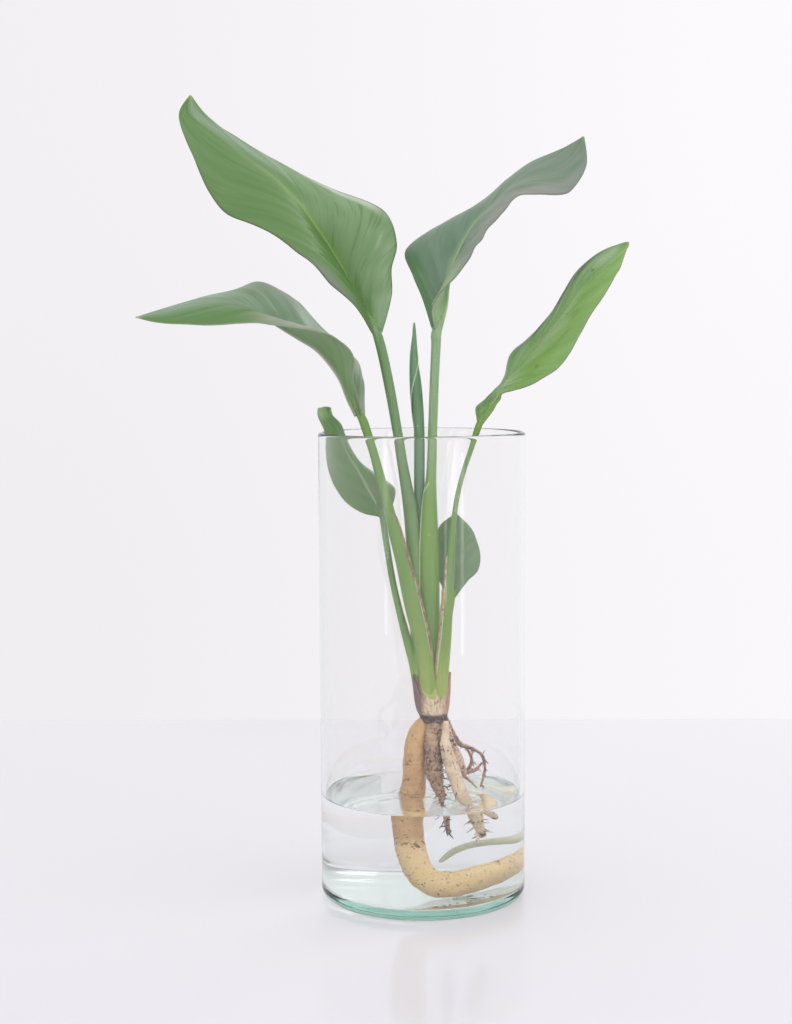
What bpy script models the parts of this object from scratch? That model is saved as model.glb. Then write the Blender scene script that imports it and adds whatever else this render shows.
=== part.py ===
"""Young bird of paradise plant, with bare roots, standing in a clear glass cylinder vase of water.

Metres, +Z up. The origin is the centre of the vase's flat bottom. The leaves face -Y.
"""

import math

import bmesh
import bpy
from mathutils import Vector

# Driving dimensions
VASE_RADIUS = 0.060
VASE_HEIGHT = 0.272
VASE_WALL = 0.0028
VASE_FLOOR = 0.006
VASE_FOOT_ROUND = 0.005
VASE_INNER_FILLET = 0.003
WATER_LEVEL = 0.060
TOUCHING_GAP = 0.0003

BLADE_THICKNESS = 0.0007
RIB_THICKNESS = 0.0026
BLADE_ARCH = 0.10

CROWN_WALL = 0.0012
CROWN_POCKET_FLOOR = 0.1135
CROWN_POCKET_TOP = 0.135
CROWN_NOTCH_RADIUS = 0.0115
CROWN_NOTCH_CENTRE = (0.0060, 0.0, 0.1310)
CROWN_NOTCH_LENGTH = 0.05

# How finely the solids are divided
TURNED_STEPS = 48
ARC_STEPS = 6
NOTCH_SIDES = 32
STALK_SIDES = 14
STALK_RINGS = 13
BLADE_ROWS = 15
BLADE_COLUMNS = 8
COLUMN_CROWDING = 1.7
TANGENT_STEP = 0.02
ROOT_RESOLUTION = 3
SHARP_ANGLE = 45
WELD_DISTANCE = 0.00001

# The crown's rings and each stalk's, from the lowest up: height, centre x, centre y, half width, half depth
CROWN_RINGS = [
    (0.1033, 0.0065, -0.0010, 0.0078, 0.0066),
    (0.106, 0.0063, -0.0010, 0.0081, 0.0068),
    (0.109, 0.0060, -0.0010, 0.0092, 0.0078),
    (0.114, 0.0058, -0.0005, 0.0102, 0.0088),
    (0.122, 0.0056, 0.0000, 0.0110, 0.0094),
    (0.131, 0.0055, 0.0000, 0.0114, 0.0098),
]
SPEAR_RINGS = [
    (0.118, 0.0030, 0.0055, 0.0024, 0.0022),
    (0.150, 0.0005, 0.0060, 0.0026, 0.0026),
    (0.200, -0.0008, 0.0060, 0.0030, 0.0030),
    (0.238, -0.0015, 0.0058, 0.0031, 0.0030),
    (0.272, -0.0015, 0.0060, 0.0032, 0.0032),
    (0.297, -0.0030, 0.0070, 0.0035, 0.0032),
    (0.315, -0.0043, 0.0076, 0.0023, 0.0023),
    (0.328, -0.0040, 0.0080, 0.0011, 0.0011),
    (0.335, -0.0040, 0.0080, 0.0004, 0.0004),
]
UPPER_LEFT_RINGS = [
    (0.114, 0.0015, 0.0010, 0.0040, 0.0040),
    (0.131, 0.0005, 0.0010, 0.0048, 0.0045),
    (0.150, -0.0015, 0.0010, 0.0050, 0.0047),
    (0.180, -0.0036, 0.0010, 0.0049, 0.0046),
    (0.205, -0.0048, 0.0010, 0.0043, 0.0042),
    (0.229, -0.0070, 0.0020, 0.0040, 0.0037),
    (0.240, -0.0088, 0.0025, 0.0035, 0.0033),
    (0.255, -0.0114, 0.0032, 0.0031, 0.0030),
    (0.272, -0.0140, 0.0040, 0.0029, 0.0028),
    (0.304, -0.0197, 0.0057, 0.0030, 0.0027),
    (0.3276, -0.0252, 0.0068, 0.0029, 0.0025),
]
UPPER_RIGHT_RINGS = [
    (0.114, 0.0075, 0.0015, 0.0038, 0.0038),
    (0.131, 0.0055, 0.0010, 0.0046, 0.0044),
    (0.150, 0.0052, 0.0008, 0.0049, 0.0046),
    (0.180, 0.0050, 0.0010, 0.0050, 0.0046),
    (0.205, 0.0046, 0.0015, 0.0049, 0.0044),
    (0.225, 0.0043, 0.0023, 0.0048, 0.0042),
    (0.237, 0.0048, 0.0032, 0.0039, 0.0036),
    (0.247, 0.0056, 0.0038, 0.0030, 0.0030),
    (0.272, 0.0065, 0.0050, 0.0027, 0.0026),
    (0.302, 0.0076, 0.0060, 0.0027, 0.0025),
    (0.322, 0.0086, 0.0068, 0.0028, 0.0025),
    (0.3299, 0.0090, 0.0070, 0.0030, 0.0025),
]
LOWER_LEFT_RINGS = [
    (0.114, 0.0045, -0.0040, 0.0040, 0.0030),
    (0.125, 0.0042, -0.0046, 0.0046, 0.0034),
    (0.147, 0.0009, -0.0052, 0.0050, 0.0037),
    (0.168, -0.0040, -0.0060, 0.0056, 0.0037),
    (0.185, -0.0080, -0.0065, 0.0050, 0.0036),
    (0.199, -0.0116, -0.0070, 0.0041, 0.0034),
    (0.214, -0.0155, -0.0070, 0.0038, 0.0032),
    (0.228, -0.0190, -0.0068, 0.0031, 0.0029),
    (0.249, -0.0246, -0.0060, 0.0028, 0.0026),
    (0.262, -0.0282, -0.0050, 0.0026, 0.0024),
    (0.274, -0.0320, -0.0043, 0.0027, 0.0024),
    (0.2803, -0.0343, -0.0038, 0.0027, 0.0024),
]
RIGHT_RINGS = [
    (0.114, 0.0105, -0.0045, 0.0032, 0.0028),
    (0.125, 0.0108, -0.0050, 0.0040, 0.0030),
    (0.142, 0.0122, -0.0055, 0.0040, 0.0030),
    (0.157, 0.0138, -0.0060, 0.0034, 0.0028),
    (0.181, 0.0153, -0.0060, 0.0028, 0.0024),
    (0.200, 0.0166, -0.0060, 0.0021, 0.0020),
    (0.214, 0.0178, -0.0060, 0.0017, 0.0017),
    (0.232, 0.0200, -0.0045, 0.0015, 0.0015),
    (0.248, 0.0239, -0.0033, 0.00145, 0.00145),
    (0.262, 0.0286, -0.0024, 0.0016, 0.0016),
    (0.2763, 0.0334, -0.0020, 0.0021, 0.0018),
]
SMALL_LEFT_RINGS = [
    (0.118, -0.0020, 0.0005, 0.0030, 0.0028),
    (0.134, -0.0044, 0.0010, 0.0032, 0.0028),
    (0.146, -0.0076, 0.0015, 0.0029, 0.0026),
    (0.165, -0.0128, 0.0022, 0.0022, 0.0021),
    (0.186, -0.0174, 0.0030, 0.0020, 0.0019),
    (0.208, -0.0210, 0.0044, 0.0019, 0.0018),
    (0.2215, -0.0230, 0.0070, 0.0020, 0.0018),
]
SMALL_RIGHT_RINGS = [
    (0.120, 0.0125, 0.0040, 0.0026, 0.0024),
    (0.135, 0.0130, 0.0060, 0.0026, 0.0024),
    (0.150, 0.0145, 0.0080, 0.0022, 0.0021),
    (0.163, 0.0162, 0.0096, 0.0018, 0.0018),
    (0.173, 0.0178, 0.0106, 0.0017, 0.0017),
]

# A blade's rows, from its base to its tip: left margin, midrib, right margin
UPPER_LEFT_BLADE = [
    ((-0.0285, 0.005, 0.3295), (-0.0262, 0.007, 0.3290), (-0.0225, 0.008, 0.3295)),
    ((-0.038, -0.002, 0.347), (-0.033, 0.012, 0.344), (-0.017, 0.010, 0.350)),
    ((-0.050, -0.006, 0.360), (-0.042, 0.017, 0.360), (-0.017, 0.014, 0.366)),
    ((-0.061, -0.006, 0.369), (-0.050, 0.022, 0.374), (-0.014, 0.018, 0.382)),
    ((-0.076, -0.002, 0.380), (-0.061, 0.027, 0.391), (-0.022, 0.026, 0.400)),
    ((-0.094, 0.006, 0.391), (-0.072, 0.031, 0.406), (-0.050, 0.044, 0.413)),
    ((-0.113, 0.014, 0.399), (-0.086, 0.035, 0.421), (-0.076, 0.052, 0.427)),
    ((-0.124, 0.020, 0.412), (-0.101, 0.038, 0.432), (-0.095, 0.052, 0.438)),
    ((-0.133, 0.030, 0.431), (-0.119, 0.041, 0.446), (-0.114, 0.049, 0.449)),
    ((-0.143, 0.038, 0.457), (-0.137, 0.043, 0.460), (-0.128, 0.046, 0.460)),
    ((-0.1378, 0.045, 0.4708), (-0.1370, 0.045, 0.4710), (-0.1362, 0.045, 0.4708)),
]
UPPER_RIGHT_BLADE = [
    ((0.0062, 0.0085, 0.3313), (0.0100, 0.0080, 0.3312), (0.0074, 0.0045, 0.3313)),
    ((0.001, 0.018, 0.348), (0.0135, 0.011, 0.345), (0.006, -0.003, 0.344)),
    ((-0.005, 0.025, 0.363), (0.0155, 0.014, 0.359), (0.014, -0.005, 0.355)),
    ((-0.009, 0.033, 0.378), (0.020, 0.018, 0.371), (0.024, -0.005, 0.366)),
    ((0.006, 0.044, 0.391), (0.026, 0.022, 0.384), (0.033, 0.000, 0.377)),
    ((0.022, 0.050, 0.400), (0.033, 0.027, 0.395), (0.038, 0.007, 0.388)),
    ((0.038, 0.054, 0.409), (0.043, 0.031, 0.405), (0.046, 0.009, 0.397)),
    ((0.052, 0.056, 0.421), (0.053, 0.035, 0.415), (0.055, 0.014, 0.405)),
    ((0.067, 0.056, 0.432), (0.066, 0.039, 0.422), (0.068, 0.020, 0.409)),
    ((0.082, 0.054, 0.438), (0.082, 0.042, 0.427), (0.087, 0.027, 0.412)),
    ((0.092, 0.050, 0.443), (0.093, 0.044, 0.437), (0.098, 0.037, 0.427)),
    ((0.0963, 0.046, 0.4452), (0.0970, 0.046, 0.4455), (0.0977, 0.046, 0.4452)),
]
LOWER_LEFT_BLADE = [
    ((-0.0345, -0.0065, 0.2822), (-0.0365, -0.0040, 0.2820), (-0.0325, -0.0015, 0.2822)),
    ((-0.036, -0.014, 0.292), (-0.041, -0.003, 0.291), (-0.033, 0.009, 0.292)),
    ((-0.038, -0.020, 0.303), (-0.046, -0.002, 0.303), (-0.034, 0.014, 0.303)),
    ((-0.038, -0.024, 0.315), (-0.053, 0.000, 0.313), (-0.037, 0.020, 0.312)),
    ((-0.046, -0.026, 0.325), (-0.061, 0.002, 0.321), (-0.046, 0.026, 0.322)),
    ((-0.056, -0.027, 0.330), (-0.071, 0.004, 0.327), (-0.060, 0.030, 0.334)),
    ((-0.069, -0.025, 0.332), (-0.081, 0.006, 0.333), (-0.070, 0.033, 0.346)),
    ((-0.083, -0.021, 0.334), (-0.091, 0.008, 0.339), (-0.080, 0.035, 0.353)),
    ((-0.097, -0.016, 0.335), (-0.103, 0.009, 0.345), (-0.097, 0.034, 0.360)),
    ((-0.115, -0.012, 0.334), (-0.118, 0.010, 0.347), (-0.114, 0.030, 0.354)),
    ((-0.133, -0.006, 0.3345), (-0.134, 0.011, 0.345), (-0.132, 0.026, 0.350)),
    ((-0.152, 0.002, 0.336), (-0.151, 0.011, 0.341), (-0.149, 0.019, 0.345)),
    ((-0.1660, 0.0093, 0.3390), (-0.1665, 0.010, 0.3392), (-0.1660, 0.0107, 0.3394)),
]
RIGHT_BLADE = [
    ((0.0322, -0.001, 0.2780), (0.0342, -0.0015, 0.2776), (0.0360, -0.003, 0.2780)),
    ((0.0315, 0.004, 0.286), (0.0375, 0.001, 0.2845), (0.0415, -0.006, 0.285)),
    ((0.037, 0.008, 0.291), (0.042, 0.002, 0.2905), (0.0445, -0.007, 0.2905)),
    ((0.0435, 0.010, 0.2965), (0.0455, 0.003, 0.296), (0.047, -0.009, 0.2945)),
    ((0.0485, 0.013, 0.304), (0.0505, 0.005, 0.303), (0.058, -0.014, 0.2975)),
    ((0.0515, 0.016, 0.316), (0.0590, 0.008, 0.313), (0.069, -0.018, 0.303)),
    ((0.062, 0.019, 0.326), (0.070, 0.010, 0.325), (0.080, -0.017, 0.312)),
    ((0.074, 0.022, 0.339), (0.081, 0.012, 0.339), (0.090, -0.013, 0.327)),
    ((0.083, 0.023, 0.353), (0.090, 0.013, 0.352), (0.098, -0.007, 0.340)),
    ((0.092, 0.021, 0.366), (0.100, 0.013, 0.363), (0.107, -0.001, 0.353)),
    ((0.105, 0.017, 0.376), (0.110, 0.013, 0.372), (0.114, 0.005, 0.364)),
    ((0.1150, 0.014, 0.3800), (0.1170, 0.013, 0.3785), (0.1185, 0.010, 0.3745)),
    ((0.1200, 0.0125, 0.3812), (0.1206, 0.012, 0.3808), (0.1207, 0.0115, 0.3800)),
]
SMALL_LEFT_BLADE = [
    ((-0.0248, 0.0065, 0.2222), (-0.0230, 0.0080, 0.2220), (-0.0208, 0.0090, 0.2222)),
    ((-0.034, 0.003, 0.2245), (-0.027, 0.008, 0.230), (-0.017, 0.015, 0.229)),
    ((-0.044, 0.000, 0.231), (-0.032, 0.008, 0.239), (-0.016, 0.018, 0.238)),
    ((-0.0505, -0.003, 0.241), (-0.037, 0.007, 0.249), (-0.026, 0.016, 0.246)),
    ((-0.0543, -0.005, 0.252), (-0.043, 0.005, 0.259), (-0.036, 0.013, 0.254)),
    ((-0.0556, -0.005, 0.262), (-0.0465, 0.003, 0.268), (-0.043, 0.010, 0.265)),
    ((-0.0558, -0.005, 0.272), (-0.0495, 0.001, 0.277), (-0.046, 0.006, 0.275)),
    ((-0.0575, -0.006, 0.281), (-0.0525, -0.002, 0.284), (-0.050, 0.003, 0.282)),
    ((-0.0567, -0.004, 0.2868), (-0.0560, -0.004, 0.2870), (-0.0553, -0.004, 0.2868)),
]
SMALL_RIGHT_BLADE = [
    ((0.0165, 0.012, 0.1737), (0.0182, 0.0112, 0.1735), (0.0200, 0.012, 0.1737)),
    ((0.010, 0.015, 0.183), (0.0185, 0.010, 0.181), (0.027, 0.010, 0.1835)),
    ((0.0085, 0.016, 0.192), (0.019, 0.009, 0.190), (0.033, 0.008, 0.190)),
    ((0.0080, 0.016, 0.202), (0.0195, 0.008, 0.200), (0.0345, 0.007, 0.199)),
    ((0.0085, 0.014, 0.211), (0.020, 0.007, 0.210), (0.032, 0.006, 0.209)),
    ((0.012, 0.011, 0.218), (0.0205, 0.006, 0.217), (0.0285, 0.005, 0.216)),
    ((0.0193, 0.005, 0.2238), (0.0200, 0.005, 0.2240), (0.0207, 0.005, 0.2238)),
]

# A root's route, from the crown to its tip: x, y, z, radius
MAIN_ROOT = [
    (0.0010, -0.0015, 0.1030, 0.0032),
    (-0.0025, -0.0025, 0.0970, 0.0049),
    (-0.0044, -0.0025, 0.0890, 0.0058),
    (-0.0050, -0.0020, 0.0800, 0.0065),
    (-0.0050, -0.0010, 0.0680, 0.0070),
    (-0.0063, 0.0000, 0.0580, 0.0076),
    (-0.0068, -0.0010, 0.0490, 0.0071),
    (-0.0064, -0.0060, 0.0380, 0.0069),
    (-0.0046, -0.0130, 0.0275, 0.0070),
    (-0.0010, -0.0200, 0.0193, 0.0072),
    (0.0070, -0.0250, 0.0144, 0.0074),
    (0.0160, -0.0225, 0.0140, 0.0074),
    (0.0250, -0.0130, 0.0142, 0.0072),
    (0.0340, 0.0020, 0.0146, 0.0068),
    (0.0400, 0.0160, 0.0165, 0.0058),
    (0.0395, 0.0290, 0.0200, 0.0042),
    (0.0310, 0.0400, 0.0230, 0.0028),
    (0.0200, 0.0465, 0.0225, 0.0020),
    (0.0110, 0.0495, 0.0180, 0.0017),
    (0.0055, 0.0500, 0.0105, 0.0010),
]
MIDDLE_ROOT = [
    (0.0078, -0.0045, 0.1030, 0.0027),
    (0.0072, -0.0050, 0.0950, 0.0034),
    (0.0073, -0.0060, 0.0850, 0.0037),
    (0.0078, -0.0070, 0.0750, 0.0036),
    (0.0090, -0.0080, 0.0660, 0.0030),
    (0.0110, -0.0090, 0.0580, 0.0020),
    (0.0107, -0.0100, 0.0490, 0.0013),
    (0.0118, -0.0100, 0.0400, 0.0008),
]
FRONT_ROOT = [
    (0.0134, -0.0055, 0.1030, 0.0017),
    (0.0132, -0.0085, 0.0970, 0.0021),
    (0.0130, -0.0100, 0.0915, 0.0031),
    (0.0145, -0.0105, 0.0850, 0.0038),
    (0.0172, -0.0115, 0.0760, 0.0041),
    (0.0205, -0.0125, 0.0660, 0.0042),
    (0.0235, -0.0135, 0.0580, 0.0042),
    (0.0250, -0.0140, 0.0510, 0.0036),
    (0.0270, -0.0140, 0.0440, 0.0025),
    (0.0290, -0.0140, 0.0385, 0.0014),
]
SIDE_ROOT = [
    (0.0125, 0.0015, 0.1030, 0.0020),
    (0.0150, 0.0020, 0.0975, 0.0020),
    (0.0185, 0.0030, 0.0915, 0.0017),
    (0.0230, 0.0045, 0.0870, 0.0012),
    (0.0300, 0.0060, 0.0840, 0.0010),
    (0.0350, 0.0060, 0.0805, 0.0009),
    (0.0370, 0.0060, 0.0740, 0.0008),
    (0.0360, 0.0055, 0.0670, 0.0007),
    (0.0342, 0.0050, 0.0612, 0.0005),
]
ROOT_STUB = [
    (0.0282, -0.0109, 0.0534, 0.0012),
    (0.0308, -0.0090, 0.0515, 0.0017),
    (0.0328, -0.0075, 0.0495, 0.0018),
    (0.0345, -0.0065, 0.0475, 0.0012),
]
ROOTLET_LOOP = [
    (0.0252, 0.0078, 0.0850, 0.0007),
    (0.0280, 0.0095, 0.0805, 0.0008),
    (0.0292, 0.0095, 0.0760, 0.0009),
    (0.0275, 0.0085, 0.0720, 0.0010),
    (0.0245, 0.0065, 0.0695, 0.0010),
]
ROOTLET_HOOK = [
    (0.0345, 0.0035, 0.0755, 0.0008),
    (0.0325, 0.0020, 0.0735, 0.0009),
    (0.0300, 0.0015, 0.0720, 0.0010),
    (0.0270, 0.0020, 0.0710, 0.0010),
]
ROOTLET_LOW = [
    (0.0255, 0.0035, 0.0675, 0.0008),
    (0.0285, 0.0025, 0.0650, 0.0007),
    (0.0325, 0.0020, 0.0612, 0.0005),
]


def clear_scene():
    for old in list(bpy.data.objects):
        bpy.data.objects.remove(old)


def new_collection(name):
    collection = bpy.data.collections.new(name)
    bpy.context.scene.collection.children.link(collection)
    return collection


def material(name, colour, roughness, transmission=0.0, ior=1.45):
    made = bpy.data.materials.new(name)
    made.use_nodes = True
    made.diffuse_color = (*colour, 1.0)
    shader = made.node_tree.nodes["Principled BSDF"]
    shader.inputs["Base Color"].default_value = (*colour, 1.0)
    shader.inputs["Roughness"].default_value = roughness
    shader.inputs["Metallic"].default_value = 0.0
    shader.inputs["Transmission Weight"].default_value = transmission
    shader.inputs["IOR"].default_value = ior
    return made


def add_object(name, mesh, collection, surface):
    made = bpy.data.objects.new(name, mesh)
    collection.objects.link(made)
    if surface:
        mesh.materials.append(surface)
    return made


def mesh_from(bm, name):
    mesh = bpy.data.meshes.new(name)
    bm.to_mesh(mesh)
    bm.free()
    mesh.shade_smooth()
    mesh.set_sharp_from_angle(angle=math.radians(SHARP_ANGLE))
    return mesh


def smooth_values(rows, place):
    """The rows' numbers at a place from 0 to 1 along them, on a curve that passes through every row."""
    last = len(rows) - 1
    at = min(max(place, 0.0), 1.0) * last
    start = min(int(at), last - 1)
    t = at - start
    before = rows[max(start - 1, 0)]
    here = rows[start]
    there = rows[start + 1]
    after = rows[min(start + 2, last)]
    values = []
    for p0, p1, p2, p3 in zip(before, here, there, after):
        linear = p2 - p0
        square = 2 * p0 - 5 * p1 + 4 * p2 - p3
        cubic = 3 * (p1 - p2) + p3 - p0
        values.append(p1 + 0.5 * t * (linear + t * (square + t * cubic)))
    return values


def arc(centre_x, centre_z, radius, start, end):
    """Points of a quarter or half round, with angles in degrees from +X."""
    points = []
    for step in range(ARC_STEPS + 1):
        angle = math.radians(start + (end - start) * step / ARC_STEPS)
        points.append((centre_x + radius * math.cos(angle), centre_z + radius * math.sin(angle)))
    return points


def turned(name, profile, surface, collection):
    bm = bmesh.new()
    ring = [bm.verts.new((x, 0.0, z)) for x, z in profile]
    for first, second in zip(ring, ring[1:]):
        bm.edges.new((first, second))
    made = add_object(name, mesh_from(bm, name), collection, surface)
    screw = made.modifiers.new("turn", "SCREW")
    screw.steps = TURNED_STEPS
    screw.render_steps = TURNED_STEPS
    screw.use_merge_vertices = True
    screw.merge_threshold = WELD_DISTANCE
    screw.use_smooth_shade = True
    return made


def stalk_mesh(name, rings, grow=0.0):
    """A closed loft through level oval rings; grow widens it all round."""
    bm = bmesh.new()
    levels = []
    for step in range(STALK_RINGS + 1):
        height, x, y, half_width, half_depth = smooth_values(rings, step / STALK_RINGS)
        if step == 0:
            height -= grow
        if step == STALK_RINGS:
            height += grow
        level = []
        for side in range(STALK_SIDES):
            angle = 2 * math.pi * side / STALK_SIDES
            out_x = math.cos(angle) * (half_width + grow)
            out_y = math.sin(angle) * (half_depth + grow)
            level.append(bm.verts.new((x + out_x, y + out_y, height)))
        levels.append(level)
    for lower, upper in zip(levels, levels[1:]):
        for side in range(STALK_SIDES):
            following = (side + 1) % STALK_SIDES
            bm.faces.new((lower[side], lower[following], upper[following], upper[side]))
    bm.faces.new(reversed(levels[0]))
    bm.faces.new(levels[-1])
    return mesh_from(bm, name)


def blade_point(rows, along, across):
    """A place on a blade: along runs from base to tip, across from the left margin, -1, to the right, 1."""
    flat_rows = [left + middle + right for left, middle, right in rows]
    values = smooth_values(flat_rows, along)
    rib = Vector(values[3:6])
    margin = Vector(values[0:3]) if across < 0 else Vector(values[6:9])
    ahead = Vector(smooth_values(flat_rows, along + TANGENT_STEP)[3:6])
    behind = Vector(smooth_values(flat_rows, along - TANGENT_STEP)[3:6])
    reach = margin - rib
    upper_side = reach.cross(ahead - behind).normalized()
    if across < 0:
        upper_side = -upper_side
    share = abs(across)
    lift = BLADE_ARCH * reach.length * 4 * share * (1 - share)
    return rib + reach * share + upper_side * lift


def blade(name, rows, surface, collection):
    """A thin leaf blade, thickened below by its midrib; its columns crowd towards the rib."""
    bm = bmesh.new()
    bmesh.ops.create_grid(bm, x_segments=BLADE_COLUMNS, y_segments=BLADE_ROWS, size=0.5)
    lamina = BLADE_THICKNESS / RIB_THICKNESS
    middle_column = 0.5 / BLADE_COLUMNS
    weights = []
    for vertex in bm.verts:
        along = vertex.co.y + 0.5
        spread = 2 * vertex.co.x
        across = math.copysign(abs(spread) ** COLUMN_CROWDING, spread)
        on_rib = abs(spread) < middle_column
        weights.append(1 - (1 - lamina) * along if on_rib else lamina)
        vertex.co = blade_point(rows, along, across)
    made = add_object(name, mesh_from(bm, name), collection, surface)
    rib = made.vertex_groups.new(name="rib")
    for index, weight in enumerate(weights):
        rib.add([index], weight, "REPLACE")
    shell = made.modifiers.new("thickness", "SOLIDIFY")
    shell.thickness = RIB_THICKNESS
    shell.offset = -1.0
    shell.vertex_group = rib.name
    return made


def root_mesh(name, route, rings, grow=0.0):
    """A closed round root along its route, as a tube whose radius follows the route's."""
    curve = bpy.data.curves.new(name, "CURVE")
    curve.dimensions = "3D"
    curve.bevel_depth = 1.0
    curve.bevel_resolution = ROOT_RESOLUTION
    curve.use_fill_caps = True
    points = [smooth_values(route, step / rings) for step in range(rings + 1)]
    if grow:
        start = Vector(points[0][:3])
        end = Vector(points[-1][:3])
        start += (start - Vector(points[1][:3])).normalized() * grow
        end += (end - Vector(points[-2][:3])).normalized() * grow
        points[0] = [*start, points[0][3]]
        points[-1] = [*end, points[-1][3]]
    spline = curve.splines.new("POLY")
    spline.points.add(len(points) - 1)
    for point, (x, y, z, radius) in zip(spline.points, points):
        point.co = (x, y, z, 1.0)
        point.radius = radius + grow
    holder = bpy.data.objects.new(name, curve)
    bpy.context.scene.collection.objects.link(holder)
    evaluated = holder.evaluated_get(bpy.context.evaluated_depsgraph_get())
    tube = bpy.data.meshes.new_from_object(evaluated)
    bpy.data.objects.remove(holder)
    bm = bmesh.new()
    bm.from_mesh(tube)
    bpy.data.meshes.remove(tube)
    bmesh.ops.remove_doubles(bm, verts=bm.verts, dist=WELD_DISTANCE)
    bmesh.ops.recalc_face_normals(bm, faces=bm.faces)
    return mesh_from(bm, name)


def cutter(name, mesh, collection):
    made = add_object(name, mesh, collection, None)
    made.hide_render = True
    made.display_type = "WIRE"
    return made


def cut(piece, tool):
    boolean = piece.modifiers.new(tool.name, "BOOLEAN")
    boolean.operation = "DIFFERENCE"
    boolean.solver = "EXACT"
    boolean.object = tool


def build_vase(parts):
    """A straight glass cylinder with a thick floor, a rounded foot and a fire-polished rim."""
    glass = material("clear_glass", (0.90, 0.97, 0.95), 0.02, transmission=1.0, ior=1.5)
    inner = VASE_RADIUS - VASE_WALL
    lip = VASE_WALL / 2
    fillet = VASE_INNER_FILLET
    profile = [(0.0, VASE_FLOOR)]
    profile += arc(inner - fillet, VASE_FLOOR + fillet, fillet, -90, 0)
    profile += arc(VASE_RADIUS - lip, VASE_HEIGHT - lip, lip, 180, 0)
    profile += arc(VASE_RADIUS - VASE_FOOT_ROUND, VASE_FOOT_ROUND, VASE_FOOT_ROUND, 0, -90)
    profile.append((0.0, 0.0))
    turned("glass_vase", profile, glass, parts)


def build_water(parts, root_tools):
    """Water up to the level, clear of the glass and of every root in it."""
    liquid = material("water", (0.93, 0.97, 0.97), 0.0, transmission=1.0, ior=1.333)
    radius = VASE_RADIUS - VASE_WALL - TOUCHING_GAP
    bottom = VASE_FLOOR + TOUCHING_GAP
    fillet = VASE_INNER_FILLET
    profile = [(0.0, WATER_LEVEL), (radius, WATER_LEVEL)]
    profile += arc(radius - fillet, bottom + fillet, fillet, 0, -90)
    profile.append((0.0, bottom))
    water = turned("water", profile, liquid, parts)
    for tool in root_tools:
        cut(water, tool)


def build_stalks(parts, tools):
    """The rolled new leaf and the six stalks, each laid against the ones inside it."""
    green = material("stalk_green", (0.20, 0.36, 0.12), 0.38)
    inside_out = [
        ("spear_leaf", SPEAR_RINGS),
        ("stalk_upper_left", UPPER_LEFT_RINGS),
        ("stalk_upper_right", UPPER_RIGHT_RINGS),
        ("stalk_lower_left", LOWER_LEFT_RINGS),
        ("stalk_right", RIGHT_RINGS),
        ("stalk_small_left", SMALL_LEFT_RINGS),
        ("stalk_small_right", SMALL_RIGHT_RINGS),
    ]
    inner_tools = []
    for name, rings in inside_out:
        stalk = add_object(name, stalk_mesh(name, rings), parts, green)
        for tool in inner_tools:
            cut(stalk, tool)
        room = name + "_room"
        inner_tools.append(cutter(room, stalk_mesh(room, rings, grow=TOUCHING_GAP), tools))
    return inner_tools


def build_crown(parts, tools, rooms):
    """The short stem: a papery cup that the stalks come out of, higher at its sides than at its front."""
    brown = material("papery_brown", (0.33, 0.20, 0.14), 0.75)
    crown = add_object("crown", stalk_mesh("crown", CROWN_RINGS), parts, brown)
    pocket_floor = (CROWN_POCKET_FLOOR, *CROWN_RINGS[3][1:])
    pocket_top = (CROWN_POCKET_TOP, *CROWN_RINGS[5][1:])
    pocket_rings = [pocket_floor, *CROWN_RINGS[4:], pocket_top]
    pocket = cutter("crown_pocket", stalk_mesh("crown_pocket", pocket_rings, grow=-CROWN_WALL), tools)
    cut(crown, pocket)
    notch = bmesh.new()
    bmesh.ops.create_cone(
        notch,
        cap_ends=True,
        segments=NOTCH_SIDES,
        radius1=CROWN_NOTCH_RADIUS,
        radius2=CROWN_NOTCH_RADIUS,
        depth=CROWN_NOTCH_LENGTH,
    )
    notch_tool = cutter("crown_notch", mesh_from(notch, "crown_notch"), tools)
    notch_tool.location = CROWN_NOTCH_CENTRE
    notch_tool.rotation_euler = (math.radians(90), 0.0, 0.0)
    cut(crown, notch_tool)
    for tool in rooms:
        cut(crown, tool)


def build_blades(parts):
    green = material("leaf_green", (0.13, 0.27, 0.09), 0.35)
    blade("blade_upper_left", UPPER_LEFT_BLADE, green, parts)
    blade("blade_upper_right", UPPER_RIGHT_BLADE, green, parts)
    blade("blade_lower_left", LOWER_LEFT_BLADE, green, parts)
    blade("blade_right", RIGHT_BLADE, green, parts)
    blade("blade_small_left", SMALL_LEFT_BLADE, green, parts)
    blade("blade_small_right", SMALL_RIGHT_BLADE, green, parts)


def build_roots(parts, tools):
    """The bare roots; those that reach the water also leave a clear space in it."""
    tan = material("root_tan", (0.55, 0.37, 0.20), 0.6)
    routes = [
        ("root_main", MAIN_ROOT, 44, True),
        ("root_middle", MIDDLE_ROOT, 16, True),
        ("root_front", FRONT_ROOT, 18, True),
        ("root_stub", ROOT_STUB, 5, True),
        ("root_side", SIDE_ROOT, 18, False),
        ("rootlet_loop", ROOTLET_LOOP, 8, False),
        ("rootlet_hook", ROOTLET_HOOK, 6, False),
        ("rootlet_low", ROOTLET_LOW, 5, False),
    ]
    wet_tools = []
    crown_tools = []
    for name, route, rings, is_wet in routes:
        add_object(name, root_mesh(name, route, rings), parts, tan)
        starts_at_crown = route[0][2] > 0.1
        if is_wet or starts_at_crown:
            room = name + "_room"
            tool = cutter(room, root_mesh(room, route, rings, grow=TOUCHING_GAP), tools)
            if is_wet:
                wet_tools.append(tool)
            if starts_at_crown:
                crown_tools.append(tool)
    return wet_tools, crown_tools


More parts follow.
